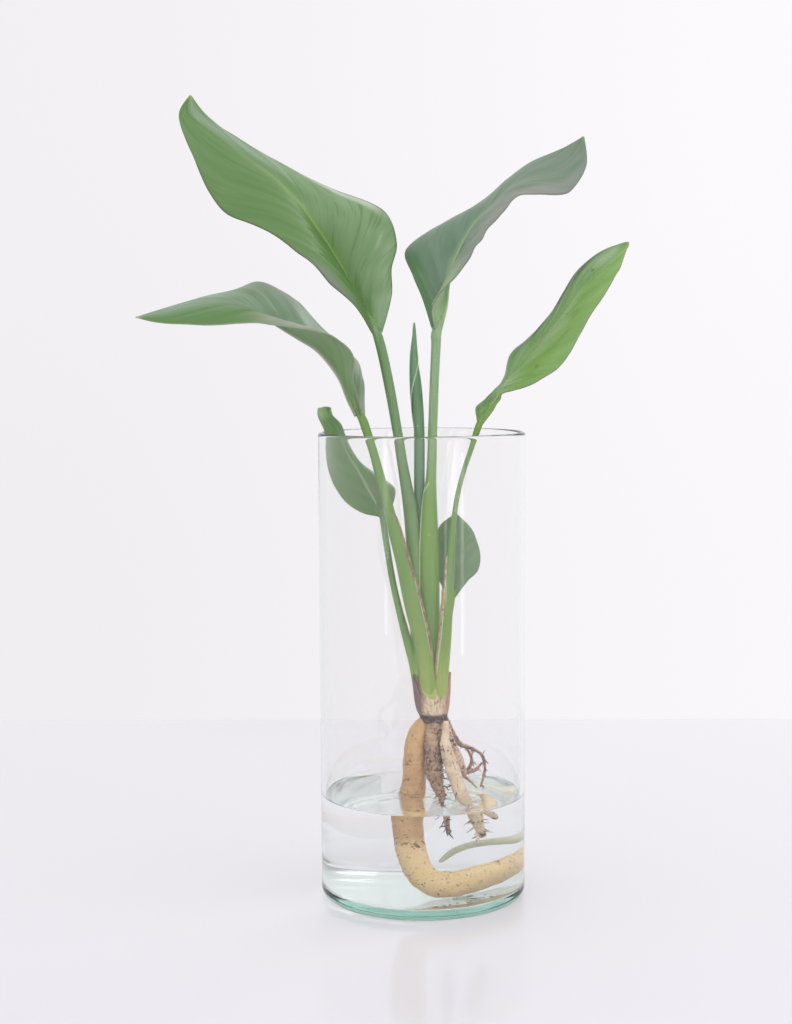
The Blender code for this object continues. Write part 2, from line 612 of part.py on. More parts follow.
clear_scene()
plant_parts = new_collection("bird_of_paradise_in_vase")
cutting_tools = new_collection("cutters")
build_vase(plant_parts)
wet_root_tools, crown_root_tools = build_roots(plant_parts, cutting_tools)
build_water(plant_parts, wet_root_tools)
stalk_tools = build_stalks(plant_parts, cutting_tools)
build_crown(plant_parts, cutting_tools, stalk_tools + crown_root_tools)
build_blades(plant_parts)
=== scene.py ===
"""The looks of a young bird of paradise plant, its roots bare, in a clear glass cylinder vase of water."""

import math
import random

import bmesh
import bpy
from mathutils import Matrix, Vector, noise


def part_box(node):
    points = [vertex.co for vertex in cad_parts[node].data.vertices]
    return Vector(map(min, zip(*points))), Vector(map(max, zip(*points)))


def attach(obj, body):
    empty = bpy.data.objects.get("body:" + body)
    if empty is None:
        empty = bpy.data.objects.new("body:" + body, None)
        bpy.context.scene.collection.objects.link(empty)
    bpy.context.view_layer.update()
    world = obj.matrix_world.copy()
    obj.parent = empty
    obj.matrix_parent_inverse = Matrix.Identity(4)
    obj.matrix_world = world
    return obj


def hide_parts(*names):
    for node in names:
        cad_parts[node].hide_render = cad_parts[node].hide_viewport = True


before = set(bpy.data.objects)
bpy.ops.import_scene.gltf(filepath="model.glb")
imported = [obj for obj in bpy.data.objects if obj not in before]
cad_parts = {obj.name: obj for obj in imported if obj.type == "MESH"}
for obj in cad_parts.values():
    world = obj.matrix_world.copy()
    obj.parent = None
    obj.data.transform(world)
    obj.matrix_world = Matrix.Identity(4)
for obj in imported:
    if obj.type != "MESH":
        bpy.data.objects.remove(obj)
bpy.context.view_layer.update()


# ----------------------------------------
# Glass vase
# One piece of clear soda-lime glass: a drawn cylinder with a thick pressed floor, a rounded foot and a
# fire-polished rim. Its faint green shows only where light runs a long way inside the glass.
# ----------------------------------------

vase_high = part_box("glass_vase")[1]
vase_radius = vase_high.x
vase_height = vase_high.z
vase_wall = 0.0028
vase_floor = 0.006
foot_round = 0.0045
floor_fillet = 0.003
under_hollow = 0.0002
support = 0.001
foot_flat = 0.005
TURNED_STEPS = 160
TURNED_GAP = 0.00001


def quarter_round(centre_x, centre_z, radius, start, end, steps=8):
    """Points of an arc in the XZ plane, with angles in degrees from +X."""
    points = []
    for step in range(steps + 1):
        angle = math.radians(start + (end - start) * step / steps)
        points.append((centre_x + radius * math.cos(angle), centre_z + radius * math.sin(angle)))
    return points


def turned(profile):
    """A profile of (radius, height) points, spun round the vase's axis into a closed skin."""
    bm = bmesh.new()
    line = [bm.verts.new((x, 0.0, z)) for x, z in profile]
    for first, second in zip(line, line[1:]):
        bm.edges.new((first, second))
    bmesh.ops.spin(
        bm,
        geom=bm.verts[:] + bm.edges[:],
        axis=(0.0, 0.0, 1.0),
        cent=(0.0, 0.0, 0.0),
        angle=2 * math.pi,
        steps=TURNED_STEPS,
        use_merge=True,
    )
    bmesh.ops.remove_doubles(bm, verts=bm.verts, dist=TURNED_GAP)
    bmesh.ops.recalc_face_normals(bm, faces=bm.faces)
    return bm


def finish_piece(bm, name, surface, nodes=()):
    """The mesh as an object that rides on the vase, wears its material and stands for its CAD nodes."""
    mesh = bpy.data.meshes.new(name)
    bm.to_mesh(mesh)
    bm.free()
    mesh.shade_smooth()
    mesh.materials.append(surface)
    piece = bpy.data.objects.new(name, mesh)
    bpy.context.scene.collection.objects.link(piece)
    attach(piece, "root")
    if nodes:
        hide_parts(*nodes)
    return piece


def new_material(name, settings):
    """A Principled material; settings are the values of its own sockets."""
    made = bpy.data.materials.new(name)
    made.use_nodes = True
    shader = made.node_tree.nodes["Principled BSDF"]
    for socket, value in settings.items():
        shader.inputs[socket].default_value = value
    return made


def add_node(surface, kind, inputs=None, **properties):
    """A node in the material. Each input is a plain value, or another node's output to link."""
    tree = surface.node_tree
    node = tree.nodes.new(kind)
    for key, value in properties.items():
        setattr(node, key, value)
    for socket, value in (inputs or {}).items():
        if isinstance(value, bpy.types.NodeSocket):
            tree.links.new(value, node.inputs[socket])
        else:
            node.inputs[socket].default_value = value
    return node


def set_input(surface, socket, value):
    """Links a node's output to a socket of the material's own shader."""
    surface.node_tree.links.new(value, surface.node_tree.nodes["Principled BSDF"].inputs[socket])


def object_place(surface, scale=(1.0, 1.0, 1.0)):
    """The place on the object in metres, stretched by scale."""
    place = add_node(surface, "ShaderNodeTexCoord").outputs["Object"]
    return add_node(surface, "ShaderNodeMapping", {"Vector": place, "Scale": scale}).outputs[0]


def noise_value(surface, place, scale, detail=2.0, roughness=0.5):
    """Noise with scale features to a metre, finer with more detail."""
    settings = {"Vector": place, "Scale": scale, "Detail": detail, "Roughness": roughness}
    return add_node(surface, "ShaderNodeTexNoise", settings).outputs[0]


def from_to(surface, value, low, high, start=0.0, end=1.0):
    """The value's rise from low to high, turned smoothly into start to end."""
    settings = {0: value, 1: low, 2: high, 3: start, 4: end}
    made = add_node(surface, "ShaderNodeMapRange", settings, interpolation_type="SMOOTHSTEP")
    return made.outputs[0]


def bump(surface, height, distance, strength=1.0):
    """Raises the skin by the height value, up to a distance in metres."""
    made = add_node(surface, "ShaderNodeBump", {"Height": height, "Distance": distance, "Strength": strength})
    set_input(surface, "Normal", made.outputs[0])


def see_through(name, base, bends, tint, density):
    """A clear stuff: how far it bends light, and the tint that light takes on a long way inside it."""
    settings = {"Base Color": base, "Roughness": 0.0, "IOR": bends, "Transmission Weight": 1.0}
    made = new_material(name, settings)
    tree = made.node_tree
    inside = add_node(made, "ShaderNodeVolumeAbsorption", {"Color": tint, "Density": density})
    tree.links.new(inside.outputs[0], tree.nodes["Material Output"].inputs["Volume"])
    return made


inner_radius = vase_radius - vase_wall
rim_round = vase_wall / 2
foot_ring = vase_radius - foot_round
vase_profile = [(0.0, vase_floor), (inner_radius - floor_fillet - support, vase_floor)]
vase_profile += quarter_round(inner_radius - floor_fillet, vase_floor + floor_fillet, floor_fillet, -90, 0)
vase_profile.append((inner_radius, vase_floor + floor_fillet + support))
vase_profile.append((inner_radius, vase_height - rim_round - support))
vase_profile += quarter_round(vase_radius - rim_round, vase_height - rim_round, rim_round, 180, 0)
vase_profile.append((vase_radius, vase_height - rim_round - support))
vase_profile.append((vase_radius, foot_round + support))
vase_profile += quarter_round(foot_ring, foot_round, foot_round, 0, -90)
vase_profile.append((foot_ring - support, 0.0))
vase_profile.append((foot_ring - support - foot_flat, 0.0))
vase_profile.append((foot_ring - 2 * support - foot_flat, under_hollow))
vase_profile.append((foot_ring - 3 * support - foot_flat, under_hollow))
vase_profile.append((0.0, under_hollow))

clear_glass = see_through("clear_glass", (1.0, 0.984, 0.988, 1.0), 1.5, (0.16, 0.66, 0.50, 1.0), 10.0)
glass_ripple = noise_value(clear_glass, object_place(clear_glass, (1.0, 1.0, 0.12)), 55.0, 1.0)
bump(clear_glass, glass_ripple, 0.0003, 0.25)
vase = finish_piece(turned(vase_profile), "vase", clear_glass, ["glass_vase"])
vase.visible_shadow = False


# ----------------------------------------
# Roots
# The plant was washed clean: thick fleshy roots, tan and ringed, with short dark rootlets, old scars and a
# decayed hollow. The longest curls round the vase's floor and thins to a pale tip against the back wall.
# ----------------------------------------

ROOT_SIDES = 36
SEAM_GAP = 0.000002
COARSE_LUMPS = 160
FINE_LUMPS = 520
RING_PITCH = 0.55
TIP_STARTS_AT_Y = 0.034

def metres(sizes):
    """The same sizes, given in millimetres, as metres."""
    if isinstance(sizes, (list, tuple)):
        return [metres(size) for size in sizes]
    return sizes / 1000


# The middle of each root and its radius, from the crown to the tip
main_root_route = metres([
    (1, -1.5, 103, 3.2),
    (-2.5, -2.5, 97, 4.9),
    (-4.4, -2.5, 89, 5.8),
    (-5, -2, 80, 6.5),
    (-5, -1, 68, 7),
    (-6.3, 0, 58, 7.6),
    (-6.8, -1, 49, 7.1),
    (-6.4, -6, 38, 6.9),
    (-4.6, -13, 27.5, 7),
    (-1, -20, 19.3, 7.2),
    (7, -25, 14.4, 7.4),
    (16, -22.5, 14, 7.4),
    (25, -13, 14.2, 7.2),
    (34, 2, 14.6, 6.8),
    (40, 16, 16.5, 5.8),
    (39.5, 29, 20, 4.2),
    (31, 40, 23, 2.8),
    (20, 46.5, 22.5, 2),
    (11, 49.5, 18, 1.7),
    (5.5, 50, 10.5, 1),
])
middle_root_route = metres([
    (7.8, -4.5, 103, 2.7),
    (7.2, -5, 95, 3.4),
    (7.3, -6, 85, 3.7),
    (7.8, -7, 75, 3.6),
    (9, -8, 66, 3),
    (11, -9, 58, 2),
    (10.7, -10, 49, 1.3),
    (11.8, -10, 40, 0.8),
])
front_root_route = metres([
    (13.4, -5.5, 103, 1.7),
    (13.2, -8.5, 97, 2.1),
    (13, -10, 91.5, 3.1),
    (14.5, -10.5, 85, 3.8),
    (17.2, -11.5, 76, 4.1),
    (20.5, -12.5, 66, 4.2),
    (23.5, -13.5, 58, 4.2),
    (25, -14, 51, 3.6),
    (27, -14, 44, 2.5),
    (29, -14, 38.5, 1.4),
])
root_stub_route = metres([
    (24, -12, 56, 1.2),
    (28.2, -10.9, 53.4, 1.2),
    (30.8, -9, 51.5, 1.7),
    (32.8, -7.5, 49.5, 1.8),
    (34.5, -6.5, 47.5, 1.2),
])
side_root_route = metres([
    (12.5, 1.5, 103, 2),
    (15, 2, 97.5, 2),
    (18.5, 3, 91.5, 1.7),
    (23, 4.5, 87, 1.2),
    (30, 6, 84, 1),
    (35, 6, 80.5, 0.9),
    (37, 6, 74, 0.8),
    (36, 5.5, 67, 0.7),
    (34.2, 5, 61.2, 0.5),
])
rootlet_loop_route = metres([
    (21.5, 5.5, 88, 1),
    (25.2, 7.8, 85, 0.7),
    (28, 9.5, 80.5, 0.8),
    (29.2, 9.5, 76, 0.9),
    (27.5, 8.5, 72, 1),
    (24.5, 6.5, 69.5, 1),
    (21.5, 4.5, 69, 1),
])
rootlet_hook_route = metres([
    (36.8, 5.2, 76.2, 0.6),
    (34.5, 3.5, 75.5, 0.8),
    (32.5, 2, 73.5, 0.9),
    (30, 1.5, 72, 1),
    (27, 2, 71, 1),
    (23.5, 3, 70.4, 0.8),
])
rootlet_low_route = metres([
    (22.5, 4.5, 70, 0.9),
    (25.5, 3.5, 67.5, 0.8),
    (28.5, 2.5, 65, 0.7),
    (32.5, 2, 61.2, 0.5),
])


def smooth_values(rows, place):
    """The rows' numbers at a place from 0 to 1 along them, on a curve that passes through every row."""
    last = len(rows) - 1
    at = min(max(place, 0.0), 1.0) * last
    start = min(int(at), last - 1)
    t = at - start
    before = rows[max(start - 1, 0)]
    after = rows[min(start + 2, last)]
    values = []
    for p0, p1, p2, p3 in zip(before, rows[start], rows[start + 1], after):
        linear = p2 - p0
        square = 2 * p0 - 5 * p1 + 4 * p2 - p3
        cubic = 3 * (p1 - p2) + p3 - p0
        values.append(p1 + 0.5 * t * (linear + t * (square + t * cubic)))
    return values


def grid_sheet(columns, rows, place):
    """A sheet of quads. place gives each vertex its point, from its share across and its share along."""
    bm = bmesh.new()
    uv_layer = bm.loops.layers.uv.new("UVMap")
    bmesh.ops.create_grid(bm, x_segments=columns, y_segments=rows, size=0.5, calc_uvs=True)
    for face in bm.faces:
        for loop in face.loops:
            loop[uv_layer].uv = (loop.vert.co.x + 0.5, loop.vert.co.y + 0.5)
    for vertex in bm.verts:
        vertex.co = place(vertex.co.x + 0.5, vertex.co.y + 0.5)
    return bm


def close_tube(bm):
    """Joins a rolled-up sheet along its seam and closes its ends."""
    bmesh.ops.remove_doubles(bm, verts=bm.verts, dist=SEAM_GAP)
    bmesh.ops.holes_fill(bm, edges=[edge for edge in bm.edges if edge.is_boundary], sides=0)
    bmesh.ops.recalc_face_normals(bm, faces=bm.faces)
    return bm


def along_route(route, steps):
    """Even steps along a route: centre, radius and two directions square to it that never twist."""
    points = [smooth_values(route, step / steps) for step in range(steps + 1)]
    frames = []
    side = Vector((1.0, 0.0, 0.0))
    for step, (x, y, z, radius) in enumerate(points):
        ahead = Vector(points[min(step + 1, steps)][:3])
        behind = Vector(points[max(step - 1, 0)][:3])
        forward = (ahead - behind).normalized()
        side = (side - forward * side.dot(forward)).normalized()
        frames.append((Vector((x, y, z)), radius, side, forward.cross(side)))
    return frames


def root_tube(route, steps, lumps, rings, sides=ROOT_SIDES, round_end=0.03, dent=None):
    """A root along its route, uneven by lumps and ringed by rings, both shares of its radius. A dent gives
    where it lies along the root, its length, the way it faces in radians, its spread and its depth."""
    frames = along_route(route, steps)

    def place(across, along):
        centre, radius, side, other = frames[round(along * steps)]
        angle = 2 * math.pi * across
        outward = side * math.cos(angle) + other * math.sin(angle)
        skin = centre + outward * radius
        swell = lumps * noise.noise(skin * COARSE_LUMPS)
        swell += 0.4 * lumps * noise.noise(skin * FINE_LUMPS)
        swell += rings * noise.noise(Vector((along * steps * RING_PITCH, 3.1, 0.0)))
        if dent:
            at, length, facing, spread, depth = dent
            turn = math.remainder(angle - facing, 2 * math.pi)
            swell -= depth * math.exp(-(((along - at) / length) ** 2) - (turn / spread) ** 2)
        end = max(0.0, (along - 1 + round_end) / round_end)
        return centre + outward * radius * (1 + swell) * math.sqrt(max(0.0, 1 - end * end))

    return close_tube(grid_sheet(sides, steps, place))


def mixed(surface, factor, first, second, blend_type="MIX"):
    """Two colours mixed by a factor; either may be a plain colour or another node's output."""
    inputs = {0: factor, 6: first, 7: second}
    made = add_node(surface, "ShaderNodeMix", inputs, data_type="RGBA", blend_type=blend_type)
    return made.outputs[2]


def tinted(surface, skin, value, low, high, colour, most=1.0):
    """A skin that takes on another colour, at most by most, while value goes from low to high."""
    return mixed(surface, from_to(surface, value, low, high, 0.0, most), skin, colour)


def sum_of(surface, first, second, operation="ADD"):
    """Two values added, or put together by another operation."""
    return add_node(surface, "ShaderNodeMath", {0: first, 1: second}, operation=operation).outputs[0]


def split(surface, vector):
    """The x, y and z of a vector."""
    return add_node(surface, "ShaderNodeSeparateXYZ", {0: vector}).outputs


def root_material(name, fresh, old, wet_and_lit, speck, specks, streaks, bands=()):
    """Root skin: old above and fresh below the water, wet and painted lighter low down, with dark specks,
    blotches, wrinkles and scar bands.
    """
    made = new_material(name, {"Roughness": 0.5})
    place = object_place(made)
    height = split(made, place)[2]
    patches = noise_value(made, place, 140.0, 3.0)
    skin = mixed(made, from_to(made, patches, 0.35, 0.68, 0.0, 0.7), fresh, old)
    # Low down the skin turns wet and lighter; the lightness is painted light, standing in for light near the
    # vase's floor.
    soaked_and_lit = sum_of(made, height, sum_of(made, patches, 0.008, "MULTIPLY"))
    skin = tinted(made, skin, soaked_and_lit, 0.044, 0.036, wet_and_lit)
    stain = noise_value(made, object_place(made, (1.0, 1.0, 2.2)), 330.0, 4.0, 0.65)
    skin = tinted(made, skin, stain, 0.55, 0.72, old, 0.5)
    blotches = from_to(made, noise_value(made, place, 170.0, 6.0, 0.75), 0.618 - 0.02 * specks, 0.650)
    skin = mixed(made, sum_of(made, blotches, 0.75, "MULTIPLY"), skin, speck)
    grains = noise_value(made, place, 620.0, 3.0, 0.7)
    grains = from_to(made, grains, 0.655 - 0.05 * specks, 0.69 - 0.05 * specks)
    fields = from_to(made, noise_value(made, place, 190.0, 2.0), 0.46 - 0.1 * specks, 0.58 - 0.1 * specks)
    skin = mixed(made, sum_of(made, grains, fields, "MULTIPLY"), skin, speck)
    for low, high in bands:
        edge = sum_of(made, height, sum_of(made, stain, 0.006, "MULTIPLY"))
        above = from_to(made, edge, low + 0.003, low + 0.004)
        below = from_to(made, edge, high + 0.004, high + 0.003)
        broken = from_to(made, noise_value(made, place, 420.0, 3.0, 0.7), 0.46, 0.60)
        band = sum_of(made, sum_of(made, above, below, "MULTIPLY"), broken, "MULTIPLY")
        skin = mixed(made, band, skin, speck)
    set_input(made, "Base Color", skin)
    wrinkles = noise_value(made, object_place(made, (1.0, 1.0, 6.0)), 260.0, 3.0)
    fine = noise_value(made, place, 1500.0, 2.0)
    bump(made, sum_of(made, wrinkles, sum_of(made, fine, 0.25, "MULTIPLY")), 0.0005 * streaks, 0.9)
    set_input(made, "Roughness", from_to(made, stain, 0.3, 0.7, 0.30, 0.58))
    return made


ochre_skin = root_material(
    "main_root_skin",
    fresh=(0.70, 0.44, 0.21, 1),
    old=(0.58, 0.33, 0.15, 1),
    wet_and_lit=(0.86, 0.63, 0.31, 1),
    speck=(0.10, 0.045, 0.03, 1),
    specks=0.8,
    streaks=0.7,
    bands=[(0.0335, 0.0365), (0.0585, 0.0593)],
)
decayed_skin = root_material(
    "middle_root_skin",
    fresh=(0.60, 0.40, 0.24, 1),
    old=(0.30, 0.185, 0.13, 1),
    wet_and_lit=(0.74, 0.56, 0.33, 1),
    speck=(0.06, 0.035, 0.03, 1),
    specks=1.5,
    streaks=1.2,
    bands=[(0.0745, 0.0860), (0.0375, 0.0410)],
)
cream_skin = root_material(
    "front_root_skin",
    fresh=(0.88, 0.72, 0.52, 1),
    old=(0.66, 0.46, 0.30, 1),
    wet_and_lit=(0.84, 0.67, 0.42, 1),
    speck=(0.08, 0.04, 0.03, 1),
    specks=1.0,
    streaks=0.9,
    bands=[(0.0370, 0.0410), (0.0470, 0.0485)],
)
fibrous_skin = root_material(
    "side_root_skin",
    fresh=(0.52, 0.33, 0.24, 1),
    old=(0.30, 0.17, 0.13, 1),
    wet_and_lit=(0.40, 0.25, 0.17, 1),
    speck=(0.07, 0.04, 0.035, 1),
    specks=1.3,
    streaks=1.4,
)
pale_root_tip = root_material(
    "pale_tip_skin",
    fresh=(0.84, 0.84, 0.62, 1),
    old=(0.76, 0.76, 0.52, 1),
    wet_and_lit=(0.86, 0.87, 0.66, 1),
    speck=(0.60, 0.56, 0.38, 1),
    specks=0.0,
    streaks=0.5,
)

# Dents: a thin old cut across the main root, and the decayed hollow along the middle one
slit = (0.205, 0.006, -1.2, 0.5, 0.10)
main_root = root_tube(main_root_route, 420, lumps=0.07, rings=0.05, round_end=0.02, dent=slit)
main_root_piece = finish_piece(main_root, "main_root", ochre_skin, ["root_main"])
main_root_piece.data.materials.append(pale_root_tip)
for face in main_root_piece.data.polygons:
    if face.center.y > TIP_STARTS_AT_Y:
        face.material_index = 1
hollow = (0.34, 0.13, -1.2, 0.7, 0.60)
# The middle root swells above this height, towards the main root
swell_from = 0.060
swell_over = 0.012
middle_root_skin_route = []
for x, y, z, radius in middle_root_route:
    upper = min(1.0, max(0.0, (z - swell_from) / swell_over))
    middle_root_skin_route.append((x - 0.0012 * upper, y + 0.001 * upper, z, radius * (1.08 + 0.36 * upper)))
middle_root = root_tube(middle_root_skin_route, 160, lumps=0.24, rings=0.12, dent=hollow)
finish_piece(middle_root, "middle_root", decayed_skin, ["root_middle"])
front_root = root_tube(front_root_route, 180, lumps=0.12, rings=0.06)
finish_piece(front_root, "front_root", cream_skin, ["root_front"])
root_stub = root_tube(root_stub_route, 50, lumps=0.25, rings=0.08, round_end=0.15)
finish_piece(root_stub, "root_stub_end", cream_skin, ["root_stub"])
inner_root_route = metres([
    (11.5, -1, 103, 3),
    (12.8, -2.5, 97, 3.8),
    (15.5, -4, 89, 4.1),
    (20, -4.5, 81, 3.6),
    (22.8, -4, 74, 3),
    (24.5, -3, 69, 1.6),
])
pink_skin = root_material(
    "inner_root_skin",
    fresh=(0.74, 0.55, 0.42, 1),
    old=(0.45, 0.29, 0.22, 1),
    wet_and_lit=(0.74, 0.56, 0.40, 1),
    speck=(0.07, 0.04, 0.035, 1),
    specks=1.2,
    streaks=1.2,
    bands=[(0.0880, 0.0960)],
)
inner_root = root_tube(inner_root_route, 120, lumps=0.22, rings=0.10, sides=28, round_end=0.08)
finish_piece(inner_root, "inner_root", pink_skin)
# The side root thickens towards the crown
side_root_skin_route = [
    (x, y, z, radius * (1.0 + 0.55 * max(0.0, (z - 0.080) / 0.023))) for x, y, z, radius in side_root_route
]
side_root = root_tube(side_root_skin_route, 200, lumps=0.35, rings=0.14, sides=20)
finish_piece(side_root, "side_root", fibrous_skin, ["root_side"])
for rootlet_name, rootlet_route, rootlet_node in [
    ("looped_rootlet", rootlet_loop_route, "rootlet_loop"),
    ("hooked_rootlet", rootlet_hook_route, "rootlet_hook"),
    ("low_rootlet", rootlet_low_route, "rootlet_low"),
]:
    rootlet = root_tube(rootlet_route, 90, lumps=0.40, rings=0.15, sides=16, round_end=0.08)
    finish_piece(rootlet, rootlet_name, fibrous_skin, [rootlet_node])


def short_rootlet(picks, start, direction, length, radius):
    """A few millimetres of wandering fibre, thinning from where it leaves the root."""
    route = []
    point = start - direction * radius
    for step in range(5):
        route.append((point.x, point.y, point.z, radius * (1.0 - 0.17 * step)))
        wander = Vector((picks.uniform(-1, 1), picks.uniform(-1, 1), picks.uniform(-1.2, 0.5)))
        direction = (direction + 0.45 * wander).normalized()
        point = point + direction * length / 4
    return root_tube(route, 14, lumps=0.3, rings=0.25, sides=7, round_end=0.12)


def two_tone(surface, tone, low, high, first, second):
    """Colours a material from the first to the second colour while tone rises from low to high."""
    set_input(surface, "Base Color", mixed(surface, from_to(surface, tone, low, high), first, second))


def rootlet_tuft(name, route, count, low, high, length, radius, facing, surface, seed):
    """Many short rootlets along part of a root, on the side it faces, as one piece."""
    picks = random.Random(seed)
    tuft = bmesh.new()
    for _ in range(count):
        x, y, z, root_radius = smooth_values(route, picks.uniform(low, high))
        angle = math.radians(facing + picks.uniform(-75, 75))
        outward = Vector((math.cos(angle), math.sin(angle), picks.uniform(-0.7, 0.1))).normalized()
        start = Vector((x, y, z)) + outward * root_radius * 0.95
        reach = length * picks.uniform(0.35, 1.0)
        one = short_rootlet(picks, start, outward, reach, radius * picks.uniform(0.6, 1.2))
        holder = bpy.data.meshes.new("one_rootlet")
        one.to_mesh(holder)
        one.free()
        tuft.from_mesh(holder)
        bpy.data.meshes.remove(holder)
    return finish_piece(tuft, name, surface)


dark_fibre = new_material("dark_fibre", {"Base Color": (0.09, 0.055, 0.045, 1), "Roughness": 0.7})
fibre_tone = noise_value(dark_fibre, object_place(dark_fibre), 400.0, 2.0)
two_tone(dark_fibre, fibre_tone, 0.4, 0.65, (0.075, 0.045, 0.04, 1), (0.26, 0.15, 0.11, 1))
# Each tuft: its root, how many, from and to along it, length, radius, the way it faces, skin and seed
for tuft_settings in [
    ("main_root_hairs", main_root_route, 9, 0.12, 0.48, 0.0050, 0.00030, -60, dark_fibre, 3),
    ("middle_root_hairs", middle_root_skin_route, 46, 0.05, 0.78, 0.0062, 0.00042, -45, dark_fibre, 5),
    ("middle_root_ends", middle_root_route, 16, 0.66, 0.99, 0.0066, 0.00060, -90, dark_fibre, 8),
    ("front_root_hairs", front_root_route, 34, 0.10, 0.80, 0.0056, 0.00036, 180, dark_fibre, 11),
    ("front_root_outer_hairs", front_root_route, 18, 0.25, 0.95, 0.0050, 0.00036, 0, dark_fibre, 13),
    ("front_root_pale_ends", front_root_route, 8, 0.72, 0.99, 0.0070, 0.00060, -110, cream_skin, 17),
    ("side_root_hairs", side_root_route, 34, 0.08, 0.98, 0.0054, 0.00036, -20, dark_fibre, 19),
    ("loop_hairs", rootlet_loop_route, 20, 0.05, 0.95, 0.0046, 0.00040, 0, fibrous_skin, 23),
    ("hook_hairs", rootlet_hook_route, 16, 0.05, 0.95, 0.0042, 0.00036, -90, fibrous_skin, 29),
]:
    rootlet_tuft(*tuft_settings)

crumb_count = 16
crumb_size = 0.0011
crumb_lift = 0.0005
root_crumbs = bmesh.new()
crumb_picks = random.Random(41)
for _ in range(crumb_count):
    crumb_angle = math.radians(crumb_picks.uniform(-85, -25))
    crumb_out = crumb_picks.uniform(0.030, 0.052)
    crumb_x = math.cos(crumb_angle) * crumb_out
    crumb_y = math.sin(crumb_angle) * crumb_out
    crumb_radius = crumb_size * crumb_picks.uniform(0.4, 1.0)
    crumb = bmesh.ops.create_icosphere(root_crumbs, subdivisions=2, radius=crumb_radius)["verts"]
    crumb_stretch = (crumb_picks.uniform(0.8, 2.4), crumb_picks.uniform(0.5, 1.2), 0.3)
    bmesh.ops.scale(root_crumbs, vec=crumb_stretch, verts=crumb)
    bmesh.ops.translate(root_crumbs, vec=(crumb_x, crumb_y, vase_floor + crumb_lift), verts=crumb)
finish_piece(root_crumbs, "root_crumbs", dark_fibre)


# ----------------------------------------
# Water
# Tap water, about a fifth of the vase's depth. It climbs a little where it wets the glass and the roots, and
# reaches just into the inner wall, so that light passes from glass to water with no air between.
# ----------------------------------------

water_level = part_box("water")[1].z
water_overlap = 0.0001
water_reach = inner_radius + water_overlap
water_floor = vase_floor - water_overlap
meniscus_rise = 0.0016
meniscus_width = 0.0022
meniscus_support = 0.0003
root_wetting = 0.6
surface_rings = 46

# The meniscus, then rings down the wall that keep its shading straight, then the fillet and the floor
water_profile = []
for ring in range(surface_rings + 1):
    out = water_reach * (ring / surface_rings) ** 0.8
    climb = meniscus_rise * math.exp(-(water_reach - out) / meniscus_width)
    water_profile.append((out, water_level - meniscus_rise / 2 + climb))
water_profile.append((water_reach, water_level + meniscus_rise / 2 - meniscus_support))
water_profile.append((water_reach, water_level - meniscus_rise / 2))
water_profile.append((water_reach, vase_floor + floor_fillet + support))
water_profile += quarter_round(water_reach - floor_fillet, water_floor + floor_fillet, floor_fillet, 0, -90)
water_profile.append((water_reach - floor_fillet - support, water_floor))
water_profile.append((0.0, water_floor))

clear_water = see_through("clear_water", (1.0, 1.0, 1.0, 1.0), 1.333, (0.55, 0.80, 0.85, 1.0), 0.7)
bump(clear_water, noise_value(clear_water, object_place(clear_water), 60.0, 1.0), 0.0002, 0.3)
water_mesh = turned(water_profile)
# Where the main, middle and front roots go through the surface
root_columns = [Vector((-0.0062, 0.0)), Vector((0.0103, -0.0087)), Vector((0.0228, -0.0133))]
root_radii = [0.0076, 0.0023, 0.0043]
for vertex in water_mesh.verts:
    if vertex.co.z > water_level - meniscus_rise and vertex.co.xy.length < water_reach - support:
        for column, radius in zip(root_columns, root_radii):
            away = max(0.0, (vertex.co.xy - column).length - radius)
            vertex.co.z += root_wetting * meniscus_rise * math.exp(-away / meniscus_width)
water = finish_piece(water_mesh, "vase_water", clear_water, ["water"])
water.data.set_sharp_from_angle(angle=math.radians(50))
water.visible_shadow = False


# ----------------------------------------
# Crown
# The short stem that leaves and roots grow from: the dried, papery remains of old leaf bases, purplish
# brown and cream, low in front and higher at the sides, above a dark fibrous ring of root scars.
# ----------------------------------------

# Each ring, here and on the stalks: its height, its middle's x and y, half its width and half its depth
crown_rings = metres([
    (103.3, 6.5, -1, 7.8, 6.6),
    (106, 6.3, -1, 8.1, 6.8),
    (109, 6, -1, 9.2, 7.8),
    (114, 5.8, -0.5, 10.2, 8.8),
    (122, 5.6, 0, 11, 9.4),
    (131, 5.5, 0, 11.4, 9.8),
])


def oval_ring(rings, height_share, angle, grow=0.0):
    """A point on the skin of a body of level oval rings."""
    height, x, y, half_width, half_depth = smooth_values(rings, height_share)
    out_x = math.cos(angle) * (half_width + grow)
    out_y = math.sin(angle) * (half_depth + grow)
    return Vector((x + out_x, y + out_y, height))


def crown_material():
    """Dry sheath: fine upright fibres, purple-brown at the left, cream in front, rust at the right."""
    made = new_material("dry_sheath", {"Roughness": 0.65})
    place = object_place(made)
    x_place, _, height = split(made, place)
    fibres = noise_value(made, object_place(made, (1.0, 1.0, 0.12)), 900.0, 3.0, 0.6)
    patches = noise_value(made, place, 260.0, 3.0)
    lean = sum_of(made, x_place, sum_of(made, patches, 0.008, "MULTIPLY"))
    skin = mixed(made, from_to(made, lean, 0.0015, 0.0075), (0.25, 0.155, 0.14, 1), (0.84, 0.68, 0.47, 1))
    skin = tinted(made, skin, lean, 0.0135, 0.0185, (0.56, 0.32, 0.21, 1))
    skin = tinted(made, skin, fibres, 0.50, 0.68, (0.17, 0.095, 0.09, 1), 0.7)
    flecks = from_to(made, noise_value(made, place, 700.0, 2.0, 0.7), 0.66, 0.70, 0.0, 0.8)
    skin = mixed(made, flecks, skin, (0.11, 0.06, 0.05, 1))
    skin = tinted(made, skin, height, 0.1082, 0.1058, (0.06, 0.038, 0.04, 1))
    set_input(made, "Base Color", skin)
    bump(made, fibres, 0.0006, 0.9)
    return made


dry_sheath = crown_material()


scale_thickness = 0.0008
scale_gap = 0.0011
scale_ragged = 0.05
scale_ridges = 0.0003
scar_depth = 0.0006


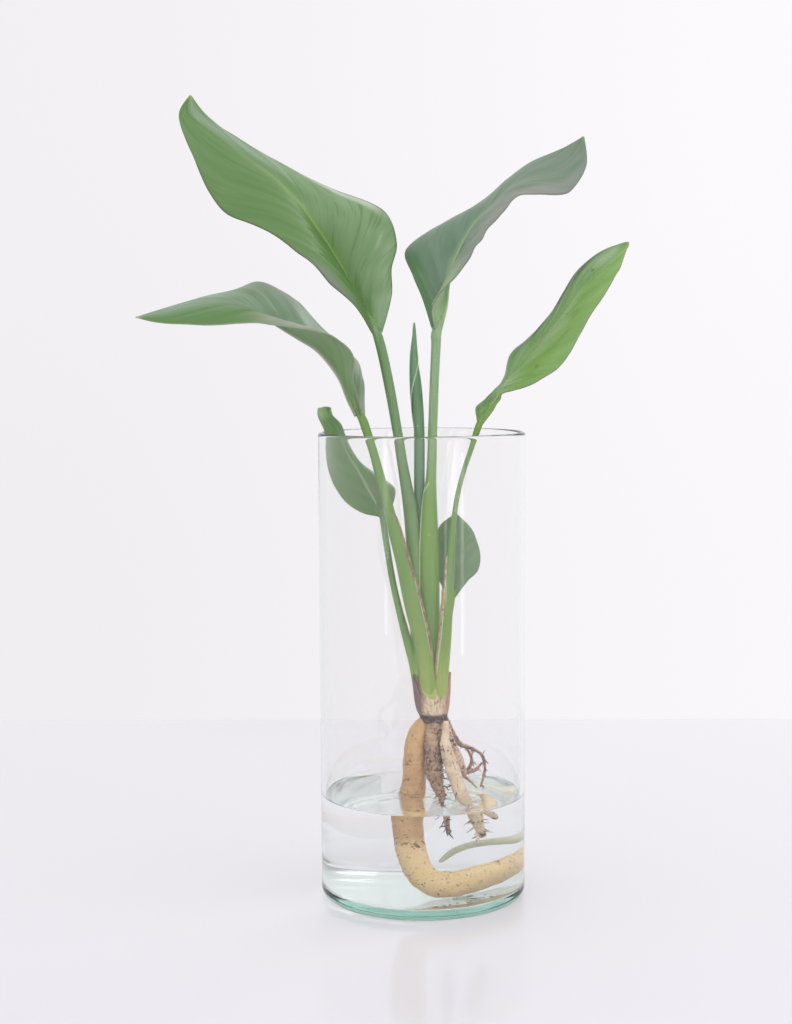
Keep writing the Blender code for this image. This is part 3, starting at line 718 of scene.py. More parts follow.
def crown_scale(name, rings, notch, top_share, nodes=()):
    """One old leaf base round the crown, lower in front, with a ragged upper edge."""

    def place(across, along):
        angle = 2 * math.pi * across
        front = max(0.0, math.cos(angle + math.pi / 2)) ** 1.6
        ragged = scale_ragged * noise.noise(Vector((math.cos(angle) * 4, math.sin(angle) * 4, 1.7 + notch)))
        top = top_share - notch * front + ragged
        ridges = scale_ridges * noise.noise(Vector((math.cos(angle) * 9, math.sin(angle) * 9, along * 1.5)))
        return oval_ring(rings, along * top, angle, ridges)

    sheet = grid_sheet(120, 50, place)
    bmesh.ops.remove_doubles(sheet, verts=sheet.verts, dist=SEAM_GAP)
    bmesh.ops.recalc_face_normals(sheet, faces=sheet.faces)
    scale = finish_piece(sheet, name, dry_sheath, nodes)
    shell = scale.modifiers.new("thickness", "SOLIDIFY")
    shell.thickness = scale_thickness
    shell.offset = -1.0
    return scale


crown_scale("outer_crown_scale", crown_rings, 0.43, 1.0, ["crown"])
inner_scale_rings = [(z, x, y, width - scale_gap, depth - scale_gap) for z, x, y, width, depth in crown_rings]
crown_scale("inner_crown_scale", inner_scale_rings, 0.35, 1.02)

crown_core_rings = metres([
    (100.8, 6.7, -1.5, 3, 2.6),
    (101.8, 6.7, -1.5, 6.6, 5.6),
    (103.3, 6.6, -1.2, 8, 6.9),
    (104.7, 6.4, -1.1, 7.6, 6.5),
    (106.2, 6.3, -1, 7.9, 6.7),
    (108, 6.1, -1, 8, 6.7),
    (111, 6, -0.8, 4, 3.5),
])


def core_place(across, along):
    """A point on the ring of root scars."""
    angle = 2 * math.pi * across
    scar = noise.noise(Vector((math.cos(angle) * 5, math.sin(angle) * 5, along * 9)))
    return oval_ring(crown_core_rings, along, angle, scar_depth * scar)


root_scars = new_material("root_scars", {"Base Color": (0.06, 0.04, 0.04, 1), "Roughness": 0.75})
scar_tone = noise_value(root_scars, object_place(root_scars), 420.0, 4.0, 0.65)
two_tone(root_scars, scar_tone, 0.46, 0.66, (0.045, 0.03, 0.032, 1), (0.30, 0.20, 0.15, 1))
bump(root_scars, scar_tone, 0.0008)
finish_piece(close_tube(grid_sheet(90, 40, core_place)), "root_scar_ring", root_scars)


# ----------------------------------------
# Rolled new leaf
# The youngest leaf, still rolled up lengthways round itself, stands dark and blue-green in the middle.
# It is a single thin sheet; its free edge winds up round it as a pale line.
# ----------------------------------------

spear_rings = metres([
    (118, 3, 5.5, 2.4, 2.2),
    (150, 0.5, 6, 2.6, 2.6),
    (200, -0.8, 6, 3, 3),
    (238, -1.5, 5.8, 3.1, 3),
    (272, -1.5, 6, 3.2, 3.2),
    (297, -3, 7, 3.5, 3.2),
    (315, -4.3, 7.6, 2.3, 2.3),
    (328, -4, 8, 1.1, 1.1),
    (335, -4, 8, 0.4, 0.4),
])


def stalk_material(name, low, high, low_at, high_at, dark, fleck=(0.55, 0.62, 0.45, 1)):
    """Stalk skin: smooth and waxy, with fine lengthwise lines and a few pale pores, yellower at the foot."""
    made = new_material(name, {"Roughness": 0.36})
    height = split(made, object_place(made))[2]
    lines = noise_value(made, object_place(made, (1.0, 1.0, 0.03)), 1400.0, 2.0, 0.6)
    broad = noise_value(made, object_place(made, (1.0, 1.0, 0.12)), 160.0, 2.0)
    skin = mixed(made, from_to(made, height, low_at, high_at), low, high)
    skin = tinted(made, skin, height, 0.155, 0.118, (0.40, 0.49, 0.11, 1), 0.7)
    skin = tinted(made, skin, broad, 0.40, 0.66, dark, 0.6)
    skin = tinted(made, skin, lines, 0.45, 0.75, dark, 0.45)
    pores = noise_value(made, object_place(made, (1.0, 1.0, 0.5)), 1100.0, 1.0)
    skin = tinted(made, skin, pores, 0.735, 0.77, fleck, 0.7)
    set_input(made, "Base Color", skin)
    bump(made, lines, 0.00015, 0.7)
    set_input(made, "Roughness", from_to(made, broad, 0.3, 0.7, 0.28, 0.42))
    return made


spear_green = stalk_material(
    "spear_green",
    low=(0.10, 0.24, 0.10, 1),
    high=(0.16, 0.30, 0.155, 1),
    low_at=0.20,
    high_at=0.30,
    dark=(0.09, 0.19, 0.10, 1),
)
rolled_across = split(spear_green, add_node(spear_green, "ShaderNodeUVMap").outputs[0])[0]
rolled_skin = spear_green.node_tree.nodes["Principled BSDF"].inputs["Base Color"].links[0].from_socket
free_edge = from_to(spear_green, rolled_across, 0.968, 0.985)
set_input(spear_green, "Base Color", mixed(spear_green, free_edge, rolled_skin, (0.50, 0.58, 0.42, 1)))
SPEAR_TURNS = 1.30
SPEAR_START = 0.62
SPEAR_TWIST = 1.9
SPEAR_INNER = 0.80
SPEAR_WINDING = 0.26
SPEAR_THICKNESS = 0.0003


def spear_place(across, along):
    """A point on the rolled leaf: across winds round it from the inside out, along goes up it."""
    height, x, y, half_width, half_depth = smooth_values(spear_rings, along)
    wound = 2 * math.pi * (across * SPEAR_TURNS + SPEAR_START + SPEAR_TWIST * along ** 2)
    spread = SPEAR_INNER + SPEAR_WINDING * across
    out_x = math.cos(wound) * half_width * spread
    out_y = math.sin(wound) * half_depth * spread
    return Vector((x + out_x, y + out_y, height))


spear_sheet = grid_sheet(60, 160, spear_place)
spear = finish_piece(spear_sheet, "rolled_leaf", spear_green, ["spear_leaf"])
spear_shell = spear.modifiers.new("thickness", "SOLIDIFY")
spear_shell.thickness = SPEAR_THICKNESS
spear_shell.offset = 0.0


# ----------------------------------------
# Stalks
# Each leaf has its own stalk. Below, it widens into a sheath that clasps the younger ones inside it, with a
# thin dry margin; above, it narrows to a firm grooved petiole that runs on as the blade's midrib.
# ----------------------------------------

upper_left_rings = metres([
    (114, 1.5, 1, 4, 4),
    (131, 0.5, 1, 4.8, 4.5),
    (150, -1.5, 1, 5, 4.7),
    (180, -3.6, 1, 4.9, 4.6),
    (205, -4.8, 1, 4.3, 4.2),
    (229, -7, 2, 4, 3.7),
    (240, -8.8, 2.5, 3.5, 3.3),
    (255, -11.4, 3.2, 3.1, 3),
    (272, -14, 4, 2.9, 2.8),
    (304, -19.7, 5.7, 3, 2.7),
    (327.6, -25.2, 6.8, 2.9, 2.5),
    (344, -32.5, 13.5, 2.2, 1.8),
    (360, -42, 18.8, 1.2, 1.2),
])
upper_right_rings = metres([
    (114, 7.5, 1.5, 3.8, 3.8),
    (131, 5.5, 1, 4.6, 4.4),
    (150, 5.2, 0.8, 4.9, 4.6),
    (180, 5, 1, 5, 4.6),
    (205, 4.6, 1.5, 4.9, 4.4),
    (225, 4.3, 2.3, 4.8, 4.2),
    (237, 4.8, 3.2, 3.9, 3.6),
    (247, 5.6, 3.8, 3, 3),
    (272, 6.5, 5, 2.7, 2.6),
    (302, 7.6, 6, 2.7, 2.5),
    (322, 8.6, 6.8, 2.8, 2.5),
    (329.9, 9, 7, 3, 2.5),
    (346, 13.4, 12.5, 1.8, 1.6),
    (359, 15.6, 15.6, 1.2, 1.2),
])
lower_left_rings = metres([
    (114, 4.5, -4, 4, 3),
    (125, 4.2, -4.6, 4.6, 3.4),
    (147, 0.9, -5.2, 5, 3.7),
    (168, -4, -6, 5.6, 3.7),
    (185, -8, -6.5, 5, 3.6),
    (199, -11.6, -7, 4.1, 3.4),
    (214, -15.5, -7, 3.8, 3.2),
    (228, -19, -6.8, 3.1, 2.9),
    (249, -24.6, -6, 2.8, 2.6),
    (262, -28.2, -5, 2.6, 2.4),
    (274, -32, -4.3, 2.7, 2.4),
    (280.3, -34.3, -3.8, 2.7, 2.4),
    (292, -40.5, -2.8, 2, 2),
    (303, -45.5, -1.8, 1, 1.2),
])
right_rings = metres([
    (114, 10.5, -4.5, 3.2, 2.8),
    (125, 10.8, -5, 4, 3),
    (142, 12.2, -5.5, 4, 3),
    (157, 13.8, -6, 3.4, 2.8),
    (181, 15.3, -6, 2.8, 2.4),
    (200, 16.6, -6, 2.1, 2),
    (214, 17.8, -6, 1.7, 1.7),
    (232, 20, -4.5, 1.5, 1.5),
    (248, 23.9, -3.3, 1.45, 1.45),
    (262, 28.6, -2.4, 1.6, 1.6),
    (276.3, 33.4, -2, 2.1, 1.8),
    (285, 37.6, 1.8, 1.3, 1.2),
    (291, 42, 3, 0.8, 0.8),
])
small_left_rings = metres([
    (118, -2, 0.5, 3, 2.8),
    (134, -4.4, 1, 3.2, 2.8),
    (146, -7.6, 1.5, 2.9, 2.6),
    (165, -12.8, 2.2, 2.2, 2.1),
    (186, -17.4, 3, 2, 1.9),
    (208, -21, 4.4, 1.9, 1.8),
    (221.5, -23, 7, 2, 1.8),
    (230, -26.8, 9.2, 1.2, 1.2),
    (239, -31.8, 9.4, 0.8, 0.8),
])
small_right_rings = metres([
    (120, 12.5, 4, 2.6, 2.4),
    (135, 13, 6, 2.6, 2.4),
    (150, 14.5, 8, 2.2, 2.1),
    (163, 16.2, 9.6, 1.8, 1.8),
    (173, 17.8, 10.6, 1.7, 1.7),
    (182, 18.6, 11.2, 1, 1),
    (190, 19, 10, 0.7, 0.7),
])


groove_depth = 0.10
groove_spread = 0.45


def stalk(name, rings, surface, node):
    """A stalk through its oval rings, with a shallow groove down its front that deepens upwards."""

    def place(across, along):
        angle = 2 * math.pi * across
        turn = math.remainder(angle + math.pi / 2, 2 * math.pi)
        height, x, y, half_width, half_depth = smooth_values(rings, along)
        pinch = 1 - groove_depth * along * math.exp(-((turn / groove_spread) ** 2))
        rough = 1 + 0.02 * noise.noise(Vector((math.cos(angle) * 2, math.sin(angle) * 2, height * 60)))
        out_x = math.cos(angle) * half_width * pinch * rough
        out_y = math.sin(angle) * half_depth * pinch * rough
        return Vector((x + out_x, y + out_y, height))

    return finish_piece(close_tube(grid_sheet(40, 150, place)), name, surface, [node])


def sheath_margin(name, rings, low, high, from_angle, to_angle, radius, surface):
    """The thin dry edge of a sheath, lying on a stalk's skin between two heights given as shares."""
    steps = 90
    route = []
    for step in range(steps + 1):
        share = step / steps
        angle = math.radians(from_angle + (to_angle - from_angle) * share)
        point = oval_ring(rings, low + (high - low) * share, angle)
        route.append((point.x, point.y, point.z, radius * (0.25 + 0.75 * math.sin(math.pi * share) ** 0.5)))
    edge = root_tube(route, 140, lumps=0.3, rings=0.2, sides=8, round_end=0.02)
    return finish_piece(edge, name, surface)


petiole_green = stalk_material(
    "petiole_green",
    low=(0.20, 0.38, 0.085, 1),
    high=(0.19, 0.315, 0.145, 1),
    low_at=0.15,
    high_at=0.27,
    dark=(0.12, 0.245, 0.07, 1),
)
fresh_green = stalk_material(
    "fresh_green",
    low=(0.27, 0.38, 0.070, 1),
    high=(0.18, 0.33, 0.085, 1),
    low_at=0.13,
    high_at=0.20,
    dark=(0.15, 0.31, 0.05, 1),
)
waxy_green = stalk_material(
    "waxy_green",
    low=(0.19, 0.36, 0.052, 1),
    high=(0.31, 0.46, 0.265, 1),
    low_at=0.22,
    high_at=0.29,
    dark=(0.15, 0.29, 0.075, 1),
)
dry_margin = new_material("dry_margin", {"Base Color": (0.34, 0.20, 0.12, 1), "Roughness": 0.6})
dry_tone = noise_value(dry_margin, object_place(dry_margin), 300.0)
two_tone(dry_margin, dry_tone, 0.4, 0.6, (0.46, 0.33, 0.17, 1), (0.28, 0.17, 0.12, 1))
pale_margin = new_material("pale_margin", {"Base Color": (0.50, 0.58, 0.38, 1), "Roughness": 0.5})
pale_tone = noise_value(pale_margin, object_place(pale_margin), 260.0)
two_tone(pale_margin, pale_tone, 0.4, 0.65, (0.46, 0.55, 0.34, 1), (0.62, 0.62, 0.48, 1))

stalk("left_tall_stalk", upper_left_rings, petiole_green, "stalk_upper_left")
# The right tall leaf's sheath is widest round this height, where it clasps the others
clasp_height = 0.180
clasp_spread = 0.036
clasp_wider = 0.0011
clasp_left = 0.0009
clasp_forward = 0.0016
right_sheath_rings = []
for height, x, y, half_width, half_depth in upper_right_rings:
    clasp = math.exp(-(((height - clasp_height) / clasp_spread) ** 4))
    half_width += clasp_wider * clasp
    x -= clasp_left * clasp
    y -= clasp_forward * clasp
    right_sheath_rings.append((height, x, y, half_width, half_depth))
stalk("right_tall_stalk", right_sheath_rings, waxy_green, "stalk_upper_right")
stalk("left_low_stalk", lower_left_rings, fresh_green, "stalk_lower_left")
stalk("right_stalk", right_rings, fresh_green, "stalk_right")
stalk("small_left_stalk", small_left_rings, petiole_green, "stalk_small_left")
stalk("small_right_stalk", small_right_rings, fresh_green, "stalk_small_right")
# Each margin: its stalk's rings, from and to along it, from and to round it in degrees, radius and material
for margin_settings in [
    ("middle_margin", right_sheath_rings, 0.10, 0.50, 212, 204, 0.00045, pale_margin),
    ("middle_margin_lip", right_sheath_rings, 0.46, 0.515, 214, 250, 0.00050, pale_margin),
    ("left_margin", lower_left_rings, 0.13, 0.52, -38, -8, 0.00110, dry_margin),
    ("left_inner_margin", lower_left_rings, 0.14, 0.36, -50, -30, 0.00030, pale_margin),
    ("right_margin", right_rings, 0.10, 0.42, 214, 198, 0.00140, dry_margin),
    ("right_pale_margin", right_rings, 0.12, 0.40, 226, 208, 0.00085, pale_margin),
    ("small_left_margin", small_left_rings, 0.03, 0.45, -40, -20, 0.00035, dry_margin),
]:
    sheath_margin(*margin_settings)

stalk_foot_rings = metres([
    (107.5, 6, -1.2, 5, 4),
    (111, 5.9, -1, 7.6, 6),
    (118, 5.7, -0.9, 8.6, 6.8),
    (125, 5.4, -0.6, 8.4, 6.2),
    (132, 5, 0, 7, 4.6),
    (139, 4.6, 0.5, 4.5, 3),
    (143, 4.3, 0.8, 1.5, 1.2),
])
foot_green = stalk_material(
    "foot_green",
    low=(0.74, 0.66, 0.36, 1),
    high=(0.36, 0.47, 0.10, 1),
    low_at=0.115,
    high_at=0.127,
    dark=(0.40, 0.45, 0.12, 1),
)


FOOT_FOLDS = 0.0004


def foot_place(across, along):
    """A point on the stalks' common foot, with soft folds round it."""
    angle = 2 * math.pi * across
    fold = FOOT_FOLDS * noise.noise(Vector((math.cos(angle) * 2.4, math.sin(angle) * 2.4, along * 2)))
    return oval_ring(stalk_foot_rings, along, angle, fold)


finish_piece(close_tube(grid_sheet(80, 60, foot_place)), "stalk_foot", foot_green)


# ----------------------------------------
# Leaf blades
# Leathery, waxy blades with a pale midrib, fine side veins that leave it at a slant, gentle pleats between
# them, and a thin margin that dries purple-brown. Each blade twists and curls in its own way.
# ----------------------------------------

BLADE_ARCH = 0.10
RIB_SPREAD = 0.06
CURL_STARTS_AT = 0.72
BLADE_THICKNESS = 0.0006
RIB_THICKNESS = 0.0024

# A blade's rows, from its base to its tip: left margin, midrib, right margin
upper_left_rows = metres([
    ((-28.5, 5, 329.5), (-26.2, 7, 329), (-22.5, 8, 329.5)),
    ((-38, -2, 347), (-33, 12, 344), (-17, 10, 350)),
    ((-50, -6, 360), (-42, 17, 360), (-17, 14, 366)),
    ((-61, -6, 369), (-50, 22, 374), (-14, 18, 382)),
    ((-76, -2, 380), (-61, 27, 391), (-22, 26, 400)),
    ((-94, 6, 391), (-72, 31, 406), (-50, 44, 413)),
    ((-113, 14, 399), (-86, 35, 421), (-76, 52, 427)),
    ((-124, 20, 412), (-101, 38, 432), (-95, 52, 438)),
    ((-133, 30, 431), (-119, 41, 446), (-114, 49, 449)),
    ((-143, 38, 457), (-137, 43, 460), (-128, 46, 460)),
    ((-137.8, 45, 470.8), (-137, 45, 471), (-136.2, 45, 470.8)),
])
upper_right_rows = metres([
    ((6.2, 8.5, 331.3), (10, 8, 331.2), (7.4, 4.5, 331.3)),
    ((1, 18, 348), (13.5, 11, 345), (6, -3, 344)),
    ((-5, 25, 363), (15.5, 14, 359), (14, -5, 355)),
    ((-9, 33, 378), (20, 18, 371), (24, -5, 366)),
    ((6, 44, 391), (26, 22, 384), (33, 0, 377)),
    ((22, 50, 400), (33, 27, 395), (38, 7, 388)),
    ((38, 54, 409), (43, 31, 405), (46, 9, 397)),
    ((52, 56, 421), (53, 35, 415), (55, 14, 405)),
    ((67, 56, 432), (66, 39, 422), (68, 20, 409)),
    ((82, 54, 438), (82, 42, 427), (87, 27, 412)),
    ((92, 50, 443), (93, 44, 437), (98, 37, 427)),
    ((96.3, 46, 445.2), (97, 46, 445.5), (97.7, 46, 445.2)),
])
lower_left_rows = metres([
    ((-34.5, -6.5, 282.2), (-36.5, -4, 282), (-32.5, -1.5, 282.2)),
    ((-36, -14, 292), (-41, -3, 291), (-33, 9, 292)),
    ((-38, -20, 303), (-46, -2, 303), (-34, 14, 303)),
    ((-38, -24, 315), (-53, 0, 313), (-37, 20, 312)),
    ((-46, -26, 325), (-61, 2, 321), (-46, 26, 322)),
    ((-56, -27, 330), (-71, 4, 327), (-60, 30, 334)),
    ((-69, -25, 332), (-81, 6, 333), (-70, 33, 346)),
    ((-83, -21, 334), (-91, 8, 339), (-80, 35, 353)),
    ((-97, -16, 335), (-103, 9, 345), (-97, 34, 360)),
    ((-115, -12, 334), (-118, 10, 347), (-114, 30, 354)),
    ((-133, -6, 334.5), (-134, 11, 345), (-132, 26, 350)),
    ((-152, 2, 336), (-151, 11, 341), (-149, 19, 345)),
    ((-166, 9.3, 339), (-166.5, 10, 339.2), (-166, 10.7, 339.4)),
])
right_rows = metres([
    ((32.2, -1, 278), (34.2, -1.5, 277.6), (36, -3, 278)),
    ((31.5, 4, 286), (37.5, 1, 284.5), (41.5, -6, 285)),
    ((37, 8, 291), (42, 2, 290.5), (44.5, -7, 290.5)),
    ((43.5, 10, 296.5), (45.5, 3, 296), (47, -9, 294.5)),
    ((48.5, 13, 304), (50.5, 5, 303), (58, -14, 297.5)),
    ((51.5, 16, 316), (59, 8, 313), (69, -18, 303)),
    ((62, 19, 326), (70, 10, 325), (80, -17, 312)),
    ((74, 22, 339), (81, 12, 339), (90, -13, 327)),
    ((83, 23, 353), (90, 13, 352), (98, -7, 340)),
    ((92, 21, 366), (100, 13, 363), (107, -1, 353)),
    ((105, 17, 376), (110, 13, 372), (114, 5, 364)),
    ((115, 14, 380), (117, 13, 378.5), (118.5, 10, 374.5)),
    ((120, 12.5, 381.2), (120.6, 12, 380.8), (120.7, 11.5, 380)),
])
small_left_rows = metres([
    ((-24.8, 6.5, 222.2), (-23, 8, 222), (-20.8, 9, 222.2)),
    ((-34, 3, 224.5), (-27, 8, 230), (-17, 15, 229)),
    ((-44, 0, 231), (-32, 8, 239), (-16, 18, 238)),
    ((-50.5, -3, 241), (-37, 7, 249), (-26, 16, 246)),
    ((-54.3, -5, 252), (-43, 5, 259), (-36, 13, 254)),
    ((-55.6, -5, 262), (-46.5, 3, 268), (-43, 10, 265)),
    ((-55.8, -5, 272), (-49.5, 1, 277), (-46, 6, 275)),
    ((-59.6, -5, 281.2), (-54.5, -2, 283.5), (-51.2, 3, 281.5)),
    ((-59.8, -4, 286.2), (-56, -3, 287), (-52.5, 2, 286.4)),
])
small_right_rows = metres([
    ((16.5, 12, 173.7), (18.2, 11.2, 173.5), (20, 12, 173.7)),
    ((10, 15, 183), (18.5, 10, 181), (27, 10, 183.5)),
    ((8.5, 16, 192), (19, 9, 190), (33, 8, 190)),
    ((8, 16, 202), (19.5, 8, 200), (34.5, 7, 199)),
    ((8.5, 14, 211), (20, 7, 210), (32, 6, 209)),
    ((12, 11, 218), (20.5, 6, 217), (28.5, 5, 216)),
    ((19.3, 5, 223.8), (20, 5, 224), (20.7, 5, 223.8)),
])


def blade_point(rows, along, across, slants=(0.4, 0.4), pleats=0.0, curls=()):
    """A place on a blade: across runs from the left margin, -1, over the midrib, 0, to the right, 1. A curl
    gives its centre and spread along, its side, and how far the margin moves outward and upward."""
    flat_rows = [left + middle + right for left, middle, right in rows]
    values = smooth_values(flat_rows, along)
    rib = Vector(values[3:6])
    margin = Vector(values[0:3]) if across < 0 else Vector(values[6:9])
    ahead = Vector(smooth_values(flat_rows, along + 0.02)[3:6])
    behind = Vector(smooth_values(flat_rows, along - 0.02)[3:6])
    reach = margin - rib
    upper_side = reach.cross(ahead - behind).normalized()
    if across < 0:
        upper_side = -upper_side
    share = abs(across)
    lift = BLADE_ARCH * reach.length * 4 * share * (1 - share)
    vein = along - slants[0 if across < 0 else 1] * share
    fade = min(1.0, 4 * share) * min(1.0, 6 * (1 - along))
    lift += pleats * noise.noise(Vector((vein * 17, across * 0.8, 0.4))) * fade
    lift += 0.9 * pleats * noise.noise(Vector((along * 7, across * 1.5, 5.0))) * share * fade
    point = rib + reach * share + upper_side * lift
    for centre, spread, side, outward, upward in curls:
        if across * side > CURL_STARTS_AT:
            reached = (share - CURL_STARTS_AT) / (1 - CURL_STARTS_AT)
            edge = reached ** 1.6 * math.exp(-(((along - centre) / spread) ** 2))
            point += (reach.normalized() * outward + upper_side * upward) * edge
    return point


def blade(name, rows, surface, slants, curls, columns, steps, pleats):
    """A blade as a thin sheet with its veins' pleats, thickened below by the midrib."""
    sheet = grid_sheet(columns, steps, lambda across, along: Vector((across, along, 0.0)))
    weights = []
    for vertex in sheet.verts:
        spread = 2 * vertex.co.x - 1
        along = vertex.co.y
        across = math.copysign(abs(spread) ** 1.25, spread)
        lamina = BLADE_THICKNESS / RIB_THICKNESS
        rib = math.exp(-((across / RIB_SPREAD) ** 2)) * (1 - along) ** 0.8
        weights.append(lamina + (1 - lamina) * rib)
        vertex.co = blade_point(rows, along, across, slants, pleats, curls)
    piece = finish_piece(sheet, f"{name}_blade", surface, [f"blade_{name}"])
    group = piece.vertex_groups.new(name="rib")
    for index, weight in enumerate(weights):
        group.add([index], weight, "REPLACE")
    shell = piece.modifiers.new("thickness", "SOLIDIFY")
    shell.thickness = RIB_THICKNESS
    shell.offset = -1.0
    shell.vertex_group = group.name


def leaf_material(
    name, slants, left, right, deep, rib, edge, tip, veins, rib_width=0.06, rough=0.36, zones=()
):
    """Leaf skin: each half's green, the paler, greyer half partly painted sheen; soft clouds of painted
    sheen; fine lines along the side veins, a pale midrib, a thin margin, and zones of other colour, some of
    them painted sheen, highlight or shade, each given as from and to along, from and to across, colour and
    strength."""
    made = new_material(name, {"Roughness": rough})
    across, along, _ = split(made, add_node(made, "ShaderNodeUVMap").outputs[0])
    offset = sum_of(made, sum_of(made, across, 0.5, "SUBTRACT"), 2.0, "MULTIPLY")
    share = add_node(made, "ShaderNodeMath", {0: offset}, operation="ABSOLUTE").outputs[0]
    side = from_to(made, offset, -0.06, 0.06)
    slant = sum_of(made, from_to(made, offset, -0.01, 0.01, slants[0], slants[1]), share, "MULTIPLY")
    vein = sum_of(made, along, slant, "SUBTRACT")
    vein_place = add_node(made, "ShaderNodeCombineXYZ", {0: vein, 1: offset, 2: 0.0}).outputs[0]

    def vein_noise(along_scale, across_scale, detail):
        scale = (along_scale, across_scale, 1.0)
        scaled = add_node(made, "ShaderNodeMapping", {"Vector": vein_place, "Scale": scale}).outputs[0]
        return noise_value(made, scaled, 1.0, detail, 0.55)

    lines = vein_noise(60.0, 1.6, 2.0)
    fine = vein_noise(120.0, 3.0, 1.0)
    soft = vein_noise(9.0, 2.0, 2.0)
    # The halves' greens differ partly by painted sheen: the half that faces the light is painted paler and
    # greyer.
    skin = mixed(made, side, left, right)
    # Painted sheen: paler, bluer clouds that stand for the waxy gloss where the blade catches the light.
    painted_sheen = mixed(made, 1.0, skin, (1.18, 1.12, 1.25, 1), "MULTIPLY")
    skin = tinted(made, skin, soft, 0.42, 0.66, painted_sheen)
    skin = tinted(made, skin, lines, 0.55, 0.66, deep, veins)
    skin = tinted(made, skin, fine, 0.50, 0.72, deep, 0.4 * veins)
    for start, end, inner, outer, colour, strength in zones:
        soft_along = 0.3 * (end - start)
        soft_across = 0.3 * (outer - inner)
        rise = from_to(made, along, start - soft_along, start + soft_along)
        fall = from_to(made, along, end + soft_along, end - soft_along)
        near = from_to(made, offset, inner - soft_across, inner + soft_across)
        far = from_to(made, offset, outer + soft_across, outer - soft_across)
        lengthwise = sum_of(made, rise, fall, "MULTIPLY")
        crosswise = sum_of(made, near, far, "MULTIPLY")
        uneven = from_to(made, soft, 0.25, 0.6, 0.7 * strength, strength)
        where = sum_of(made, sum_of(made, lengthwise, crosswise, "MULTIPLY"), uneven, "MULTIPLY")
        skin = mixed(made, where, skin, colour)
    fade = from_to(made, along, 0.15, 0.80, 1.0, 0.12)
    wide_rib = sum_of(made, from_to(made, share, rib_width * 3.0, 0.0, 0.0, 0.6), fade, "MULTIPLY")
    skin = mixed(made, wide_rib, skin, rib)
    sharp_rib = sum_of(made, from_to(made, share, rib_width, rib_width * 0.4, 0.0, 0.85), fade, "MULTIPLY")
    skin = mixed(made, sharp_rib, skin, rib)
    near_base = sum_of(made, from_to(made, along, 0.13, 0.0), from_to(made, share, 0.8, 0.2), "MULTIPLY")
    skin = mixed(made, near_base, skin, rib)
    skin = tinted(made, skin, along, 0.962, 0.995, tip)
    skin = tinted(made, skin, share, 0.975, 0.995, edge, 0.75)
    set_input(made, "Base Color", skin)
    bump(made, lines, 0.0002, 0.35)
    set_input(made, "Roughness", from_to(made, soft, 0.3, 0.7, rough - 0.04, rough + 0.08))
    return made


def leaf(name, rows, slants, curls=(), columns=56, steps=190, pleats=0.0006, **skin_settings):
    """One leaf blade and its skin. Slants say how steeply its side veins leave the midrib, left and right."""
    skin = leaf_material(f"{name}_skin", slants, **skin_settings)
    blade(name, rows, skin, slants, curls, columns, steps, pleats)


right_slants = (0.30, 0.30)
leaf(
    "upper_left",
    upper_left_rows,
    (0.52, 0.26),
    curls=[(0.47, 0.07, 1, 0.0026, 0.0010), (0.19, 0.09, -1, 0.0016, -0.0030), (0.36, 0.03, -1, 0.0012, 0.0)],
    left=(0.116, 0.233, 0.068, 1),
    right=(0.165, 0.29, 0.12, 1),
    deep=(0.07, 0.18, 0.035, 1),
    rib=(0.26, 0.43, 0.13, 1),
    edge=(0.12, 0.14, 0.085, 1),
    tip=(0.24, 0.42, 0.10, 1),
    veins=0.50,
    rib_width=0.09,
    zones=[
        (0.02, 0.62, -0.90, -0.10, (0.10, 0.225, 0.052, 1), 0.60),
        # Painted highlight: a pale grey band near the tip on the right half, standing for the sheen from the
        # light above.
        (0.62, 0.93, 0.05, 0.75, (0.26, 0.35, 0.25, 1), 0.65),
        (0.50, 0.75, 0.0, 0.35, (0.10, 0.225, 0.065, 1), 0.6),
        (0.40, 0.56, 0.90, 1.05, (0.50, 0.58, 0.44, 1), 0.9),
        (0.03, 0.12, 0.45, 1.0, (0.30, 0.42, 0.26, 1), 0.6),
        (0.10, 0.30, -1.10, -0.88, (0.19, 0.24, 0.17, 1), 0.9),
    ],
)
leaf(
    "upper_right",
    upper_right_rows,
    (0.30, 0.34),
    curls=[(0.66, 0.05, 1, -0.0022, 0.001), (0.80, 0.05, 1, 0.0026, 0.001), (0.36, 0.04, 1, -0.001, 0.002)],
    left=(0.13, 0.225, 0.135, 1),
    right=(0.17, 0.245, 0.165, 1),
    deep=(0.085, 0.165, 0.09, 1),
    rib=(0.36, 0.53, 0.24, 1),
    edge=(0.20, 0.19, 0.16, 1),
    tip=(0.24, 0.38, 0.12, 1),
    veins=0.35,
    rib_width=0.065,
    zones=[
        (0.00, 0.24, -1.05, -0.65, (0.10, 0.25, 0.07, 1), 0.7),
        (0.00, 0.26, 0.10, 1.10, (0.36, 0.50, 0.27, 1), 0.95),
        (0.34, 0.85, 0.72, 1.10, (0.33, 0.32, 0.30, 1), 0.60),
        # Painted sheen: a grey wash over the upper part towards the tip.
        (0.55, 0.95, -0.75, 0.10, (0.24, 0.29, 0.23, 1), 0.55),
        (0.45, 0.70, -1.05, -0.70, (0.14, 0.27, 0.12, 1), 0.5),
    ],
)
leaf(
    "lower_left",
    lower_left_rows,
    (0.34, 0.30),
    left=(0.150, 0.258, 0.108, 1),
    right=(0.235, 0.34, 0.215, 1),
    deep=(0.115, 0.22, 0.09, 1),
    rib=(0.38, 0.42, 0.32, 1),
    edge=(0.33, 0.36, 0.26, 1),
    tip=(0.48, 0.48, 0.22, 1),
    veins=0.3,
    rib_width=0.045,
    zones=[
        (0.62, 1.05, -1.15, -0.20, (0.095, 0.225, 0.05, 1), 0.85),
        (0.42, 0.64, -1.05, -0.60, (0.36, 0.37, 0.30, 1), 0.65),
        (0.05, 0.35, -0.95, -0.10, (0.18, 0.33, 0.10, 1), 0.5),
        (0.05, 0.30, 0.10, 1.0, (0.09, 0.175, 0.07, 1), 0.7),
    ],
)
